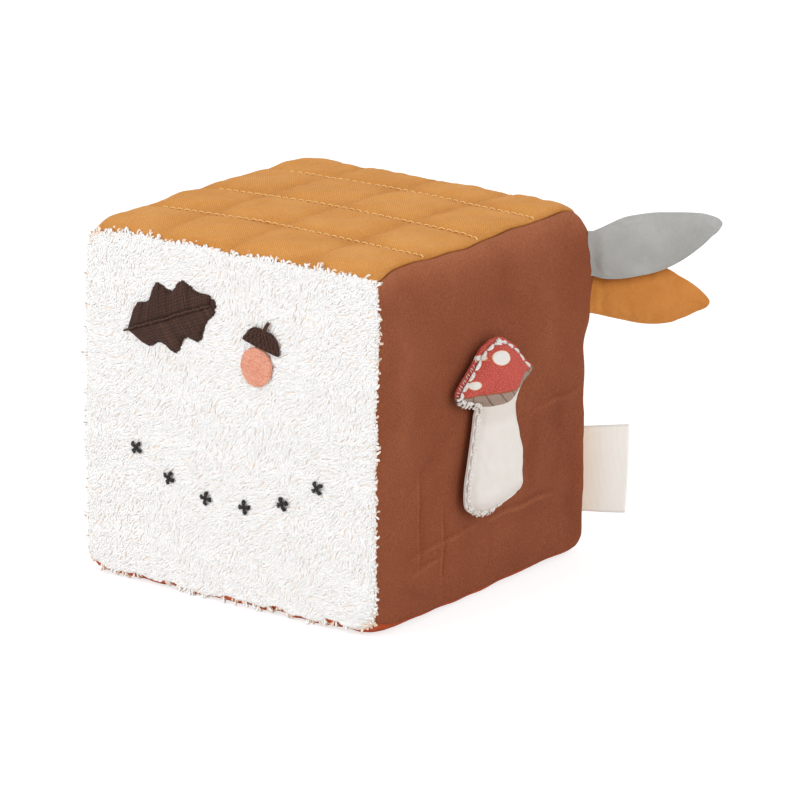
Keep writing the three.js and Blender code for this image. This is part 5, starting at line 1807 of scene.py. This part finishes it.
def pile_finish():
    """The pile: softly twisted and white at its tops, with painted shade that makes it warm beige
    deep down between the loops.
    """
    finish = Finish("towelling_pile")
    along, around, share = finish.weave()
    ribs = ((along / 0.9 + around) * TURN).sine() * 0.5 + 0.5
    place = finish.place()
    drift = finish.noise(place, 14.0, 2.0)
    lint = finish.noise(place, 0.5, 1.0)
    # painted shade: the lower a part of a strand lies, the more warm beige it is painted
    height = finish.step(share + (drift - 0.5) * 0.3, 0.15, 0.95)
    tone = finish.mix(height, linear(246, 221, 200), linear(255, 253, 251))
    tone = finish.mix((lint - 0.5) * 0.2 + ribs * 0.04, tone, linear(244, 238, 232))
    return finish.surface({
        "Base Color": tone,
        "Roughness": 0.94 - ribs * 0.08,
        "Normal": finish.bump(ribs + lint, 0.08),
        "Subsurface Weight": 0.3,
        "Subsurface Radius": (1.0, 0.9, 0.8),
        "Subsurface Scale": 0.5 * MM,
        "Specular IOR Level": 0.1,
    })


# The print on the toadstool, in millimetres on its own plane
PRINT_PITCH = 0.55
CAP_EDGE_Z = 72.05
GILL_FOOT_Z = 68.1
GILL_FOOT_Y = -8.0
GILL_MIDDLE_Z = 71.0
GILL_SLANT = 0.95
GILL_PITCH = 5.6
# the heights over which the painted shadow of the cap fades in towards the gills
STEM_SHADE_Z = (60.5, 65.0)
SPOT_RIM = 0.2
# A spot is an ellipse: its middle, and the ends of its long and short half axes from there
Spot = namedtuple("Spot", "y z long_y long_z short_y short_z")
SPOTS = [
    Spot(-3.2, 83.6, 3.92, -0.86, 1.38, 2.01),
    Spot(-16.0, 76.8, 2.15, -0.2, 0.6, 1.2),
    Spot(-10.7, 84.7, 1.9, -0.1, 0.3, 0.8),
]


def print_finish():
    """The toadstool's printed cotton: a red cap with pale spots, gills and a pale stem, and a
    painted shadow of the cap on the stem's top.
    """
    finish = Finish("toadstool_print")
    y, z, _ = finish.weave()
    spot = finish.vector(y, z)
    wobble = (finish.noise(spot, 1.6, 2.0) - 0.5) * 0.35
    weave = ((y * TURN / PRINT_PITCH).sine() * (z * TURN / PRINT_PITCH).sine()) * 0.5 + 0.5
    flecks = finish.step(finish.noise(finish.vector(y, z * 1.5), 0.6, 2.0, 0.75), 0.52, 0.64)
    clouds = finish.noise(spot, 5.0, 2.0)
    red = finish.mix(clouds, linear(186, 72, 62), linear(208, 88, 76))
    red = finish.mix(flecks * 0.6, red, linear(226, 146, 134))
    stem = finish.mix(clouds, linear(239, 232, 224), linear(247, 243, 238))
    # painted shadow of the cap on the top of the stem
    shaded = finish.step(z, *STEM_SHADE_Z)
    stem = finish.mix(shaded * 0.4, stem, linear(226, 214, 204))
    gills = finish.mix(finish.noise(spot, 1.2, 3.0), linear(146, 124, 111), linear(181, 160, 146))
    lines = ((y + (z - GILL_MIDDLE_Z) * GILL_SLANT) * TURN / GILL_PITCH).sine()
    gills = finish.mix(finish.step(lines, 0.86, 0.99) * 0.75, gills, linear(104, 84, 74))
    cap_edge = CAP_EDGE_Z - y * 0.075 + finish.step(y, 2.5, 12.5) * 4.6 + wobble
    from_edge = z - cap_edge
    from_foot = y - GILL_FOOT_Y
    curve = from_foot * from_foot * finish.step(y, 8.5, 6.5) * 0.017
    gill_foot = GILL_FOOT_Z + curve + wobble
    colour = finish.mix(finish.step(z - gill_foot, -0.1, 0.15), stem, gills)
    colour = finish.mix(finish.step(from_edge, -0.1, 0.1), colour, red)
    line = finish.step(from_edge.absolute(), 0.34, 0.14)
    colour = finish.mix(line * 0.8, colour, linear(150, 86, 52))
    for place in SPOTS:
        area = place.long_y * place.short_z - place.long_z * place.short_y
        from_y, from_z = y - place.y, z - place.z
        across = from_y * (place.short_z / area) - from_z * (place.short_y / area)
        up = from_z * (place.long_y / area) - from_y * (place.long_z / area)
        reach = (across * across + up * up) ** 0.5 + wobble * 0.12
        rim = SPOT_RIM / math.hypot(place.short_y, place.short_z)
        colour = finish.mix(finish.step(reach, 1.0 + rim, 1.0), colour, linear(238, 196, 150))
        inner = finish.step(reach, 1.0, 1.0 - rim * 0.6)
        colour = finish.mix(inner, colour, linear(240, 236, 229))
    colour = finish.mix((weave - 0.5) * 0.12 + 0.06, colour, linear(120, 90, 80))
    return finish.surface({
        "Base Color": colour,
        "Roughness": 0.95 - weave * 0.1,
        "Normal": finish.bump(weave, 0.07),
        "Sheen Weight": 0.02,
        "Specular IOR Level": 0.12,
    })


def tape_finish():
    """Cream satin tape: fine ribs across it, and painted shade that makes it darker and warmer
    towards the seam.
    """
    finish = Finish("cream_tape")
    along, _, share = finish.weave()
    ribs = (along * TURN / TAPE_RIB).sine() * 0.5 + 0.5
    lint = finish.noise(finish.place(), 0.8, 2.0)
    blotch = finish.noise(finish.place(), 7.0, 2.0)
    # painted shade: darker and warmer towards the seam
    painted_root_shade = share + (blotch - 0.5) * 0.3
    colour = finish.mix(painted_root_shade, linear(255, 252, 245), linear(246, 228, 210))
    darkness = (ribs - 0.5) * 0.1 + (lint - 0.5) * 0.25 + 0.05
    colour = finish.mix(darkness, colour, linear(244, 230, 216))
    return finish.surface({
        "Base Color": colour,
        "Roughness": 0.72 - ribs * 0.12,
        "Normal": finish.bump(ribs, 0.05),
        "Sheen Weight": 0.05,
        "Specular IOR Level": 0.2,
    })


def stuffing_finish(name, colour, pale, cell, relief):
    """Foam or wadding: open cells or fibres as small hollows."""
    finish = Finish(name)
    place = finish.place()
    cells = finish.node("ShaderNodeTexVoronoi", {}, {"Vector": place, "Scale": 1 / cell})
    clouds = finish.noise(place, 12.0, 3.0)
    colour = finish.mix(cells * 0.6 + clouds * 0.4, colour, pale)
    return finish.surface({
        "Base Color": colour,
        "Roughness": 0.9 + cells * 0.1,
        "Normal": finish.bump(cells, relief),
    })


def hard_finish(name, colour, pale, roughness, metallic=0.0, transmission=0.0):
    """Moulded plastic, steel or film: faint flow marks and small scratches in the gloss."""
    finish = Finish(name)
    place = finish.place()
    flow = finish.noise(place, 9.0, 3.0)
    scratches = finish.noise(place, 0.6, 4.0, 0.7)
    return finish.surface({
        "Base Color": finish.mix(flow, colour, pale),
        "Roughness": scratches * 0.2 + roughness,
        "Metallic": metallic,
        "Transmission Weight": transmission,
        "Normal": finish.bump(scratches, 0.02),
    })


def dress_node(node, finish):
    """Gives a solid that stays as it is its finish."""
    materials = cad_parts[node].data.materials
    materials.clear()
    materials.append(finish)


# Stage

WHITE = (1.0, 1.0, 1.0, 1.0)
FLOOR_SIZE = 12.0
FLOOR_COLOUR = (0.86, 0.855, 0.85, 1.0)
SHADED_FLOOR_COLOUR = (0.42, 0.42, 0.42, 1.0)
FLOOR_GLOW = 0.74


def seen_share(finish):
    """1 for rays from the camera, or by way of a mirror or glass."""
    kinds = ("Is Camera Ray", "Is Glossy Ray", "Is Transmission Ray")
    camera, glossy, through = [finish.node("ShaderNodeLightPath", {}, {}, kind) for kind in kinds]
    return camera.most(glossy).most(through)


def add_floor():
    """A plain pale floor that keeps the shadow, and looks white to the camera and in mirrors."""
    finish = Finish("floor")
    plain = finish.node("ShaderNodeBsdfDiffuse", {}, {"Color": FLOOR_COLOUR})
    shaded = finish.node("ShaderNodeBsdfDiffuse", {}, {"Color": SHADED_FLOOR_COLOUR})
    glow = finish.node("ShaderNodeEmission", {}, {"Color": WHITE, "Strength": FLOOR_GLOW})
    shown = finish.node("ShaderNodeAddShader", {}, {0: shaded, 1: glow})
    mixed = finish.node("ShaderNodeMixShader", {}, {0: seen_share(finish), 1: plain, 2: shown})
    finish.node("ShaderNodeOutputMaterial", {}, {"Surface": mixed})
    mesh = bpy.data.meshes.new("floor")
    corners = [(x * FLOOR_SIZE, y * FLOOR_SIZE, 0) for x, y in ((-1, -1), (1, -1), (1, 1), (-1, 1))]
    mesh.from_pydata(corners, [], [(0, 1, 2, 3)])
    mesh.materials.append(finish.material)
    floor = bpy.data.objects.new("floor", mesh)
    bpy.context.scene.collection.objects.link(floor)


Lamp = namedtuple("Lamp", "name place size power")
LAMPS = [
    Lamp("key_softbox", (-0.75, -1.45, 1.1), 1.2, 16.0),
    Lamp("side_softbox", (1.7, -0.35, 0.95), 1.2, 9.0),
    Lamp("back_softbox", (0.2, 1.8, 1.2), 1.4, 6.0),
]
AIM = Vector((0.0, 0.0, 0.06))
WORLD_LIGHT = 0.68


def add_lights():
    """Three soft discs aimed at the block's middle, and an even pale world."""
    scene = bpy.context.scene
    for lamp in LAMPS:
        light = bpy.data.lights.new(lamp.name, "AREA")
        light.shape = "DISK"
        light.size = lamp.size
        light.energy = lamp.power
        made = bpy.data.objects.new(lamp.name, light)
        scene.collection.objects.link(made)
        made.location = lamp.place
        made.rotation_euler = (AIM - Vector(lamp.place)).to_track_quat("-Z", "Y").to_euler()
    scene.world = bpy.data.worlds.new("studio")
    sky = Finish("studio", scene.world)
    strength = WORLD_LIGHT + (1 - WORLD_LIGHT) * seen_share(sky)
    background = sky.node("ShaderNodeBackground", {}, {"Color": WHITE, "Strength": strength})
    sky.node("ShaderNodeOutputWorld", {}, {"Surface": background})
    scene.view_settings.view_transform = "Standard"


# The object

RUST = Cotton(
    tones((98, 48, 28), (140, 76, 50), (178, 111, 77)), pitch=0.66, twill=True, contrast=0.3,
    blotch=0.34, blotch_size=30.0, speckle=0.6, relief=0.09, sheen=0.02,
)
# a lighter, more saturated copy of the rust for the bottom panel: painted light on the low edge,
# which lies in the block's shadow
PAINTED_LIGHT_RUST = RUST._replace(tones=tones((146, 58, 30), (188, 84, 48), (214, 112, 72)))
MUSTARD = Cotton(
    tones((172, 104, 40), (210, 146, 76), (234, 180, 116)), pitch=0.66, twill=True, contrast=0.26,
    blotch=0.42, blotch_size=16.0, speckle=0.45, relief=0.1, sheen=0.02,
)
GREY = Cotton(
    tones((140, 141, 138), (172, 172, 169), (200, 200, 197)), pitch=0.5, twill=True, contrast=0.25,
    blotch=0.5, blotch_size=11.0, speckle=0.3, relief=0.06, sheen=0.02,
)
LEAF_MUSTARD = GREY._replace(tones=tones((166, 98, 40), (208, 136, 67), (228, 162, 96)))
GROUND = GREY._replace(
    tones=tones((242, 224, 208), (248, 236, 224), (252, 246, 240)), pitch=1.0, twill=False,
)
PALE_QUILTING = tones((206, 150, 84), (240, 194, 122), (250, 217, 160))
DEEP_QUILTING = tones((190, 122, 60), (213, 149, 82), (228, 170, 106))
DARK_THREAD = tones((42, 26, 21), (66, 42, 34), (102, 70, 56))
PEACH_THREAD = tones((206, 126, 98), (232, 162, 135), (246, 190, 166))
BLACK_THREAD = tones((24, 22, 23), (43, 39, 40), (76, 70, 70))
WHITE_YARN = tones((190, 178, 168), (232, 226, 220), (248, 245, 242))


def add_block():
    rust = cotton_finish("rust_twill", RUST, wear_and_painted_light=0.12)
    # painted light: the bottom panel is a lit copy of the rust
    painted_light_rust = cotton_finish("painted_light_rust_twill", PAINTED_LIGHT_RUST, wear_and_painted_light=0.09)
    for side_name, side, cells, creases, seed, finish in (
            ("right", RIGHT, 196, RIGHT_CREASES, 21, rust),
            ("back", BACK, 112, BACK_CREASES, 22, rust),
            ("left", LEFT, 112, LEFT_CREASES, 23, rust),
            ("bottom", BOTTOM, 96, BOTTOM_CREASES, 24, painted_light_rust)):
        add_twill_panel(f"{side_name}_rust_cloth", side, cells, creases, seed, finish,
                        f"{side_name}_twill_panel")
    # the quilted top's grooves carry painted shade
    add_quilted_top(cotton_finish("mustard_cotton", MUSTARD, painted_shade=0.2))
    add_quilt_stitches(thread_finish("pale_quilting_thread", PALE_QUILTING),
                       thread_finish("deep_quilting_thread", DEEP_QUILTING))
    add_towelling(cotton_finish("towelling_ground", GROUND), pile_finish())


def add_trims():
    dark = thread_finish("dark_embroidery", DARK_THREAD, lay=1.1, gloss=0.6)
    peach = thread_finish("peach_embroidery", PEACH_THREAD, lay=1.1, gloss=0.45)
    black = thread_finish("black_embroidery", BLACK_THREAD, lay=1.1, gloss=0.45)
    add_embroidery(dark, peach, black)
    outline = add_toadstool(print_finish())
    add_toadstool_stitches(outline, thread_finish("white_yarn", WHITE_YARN, lay=1.6, gloss=0.75))
    add_leaf("grey_leaf", GREY_LEAF, cotton_finish("grey_cotton", GREY), 101)
    # painted shadow of the grey leaf darkens the mustard leaf
    mustard = cotton_finish("mustard_leaf_cotton", LEAF_MUSTARD, painted_shade=0.45)
    add_leaf("mustard_leaf", MUSTARD_LEAF, mustard, 103)
    add_tape_loop(tape_finish())


def add_insides():
    foam = stuffing_finish("foam", linear(236, 222, 184), linear(250, 241, 214), 0.9, 0.3)
    wadding = stuffing_finish("wadding", linear(232, 229, 222), linear(250, 249, 246), 1.6, 0.4)
    copied_solid("foam_lower", "foam_core_lower", foam, 2.2, 0.06, 7.0, 111)
    copied_solid("foam_upper", "foam_core_upper", foam, 2.2, 0.06, 7.0, 112)
    copied_solid("quilt_wadding", "top_wadding", wadding, 0.7, 0.06, 4.0, 113)
    copied_solid("toadstool_stuffing", "toadstool_filling", wadding, 0.7, 0.1, 4.0, 114)
    film = hard_finish("crinkle_film", linear(233, 238, 240), linear(250, 252, 252), 0.15,
                       transmission=0.7)
    plastic = hard_finish("rattle_plastic", linear(226, 224, 219), linear(238, 236, 232), 0.3)
    steel = hard_finish("rattle_ball", linear(190, 192, 196), linear(214, 216, 220), 0.2,
                        metallic=1.0)
    for name in ("grey_leaf", "mustard_leaf"):
        dress_node(f"{name}_crinkle_film", film)
    for name in ("rattle_case_left", "rattle_case_right"):
        dress_node(name, plastic)
    for index in range(3):
        dress_node(f"rattle_ball_{index + 1}", steel)


add_camera()
add_insides()
add_block()
add_trims()
add_floor()
add_lights()
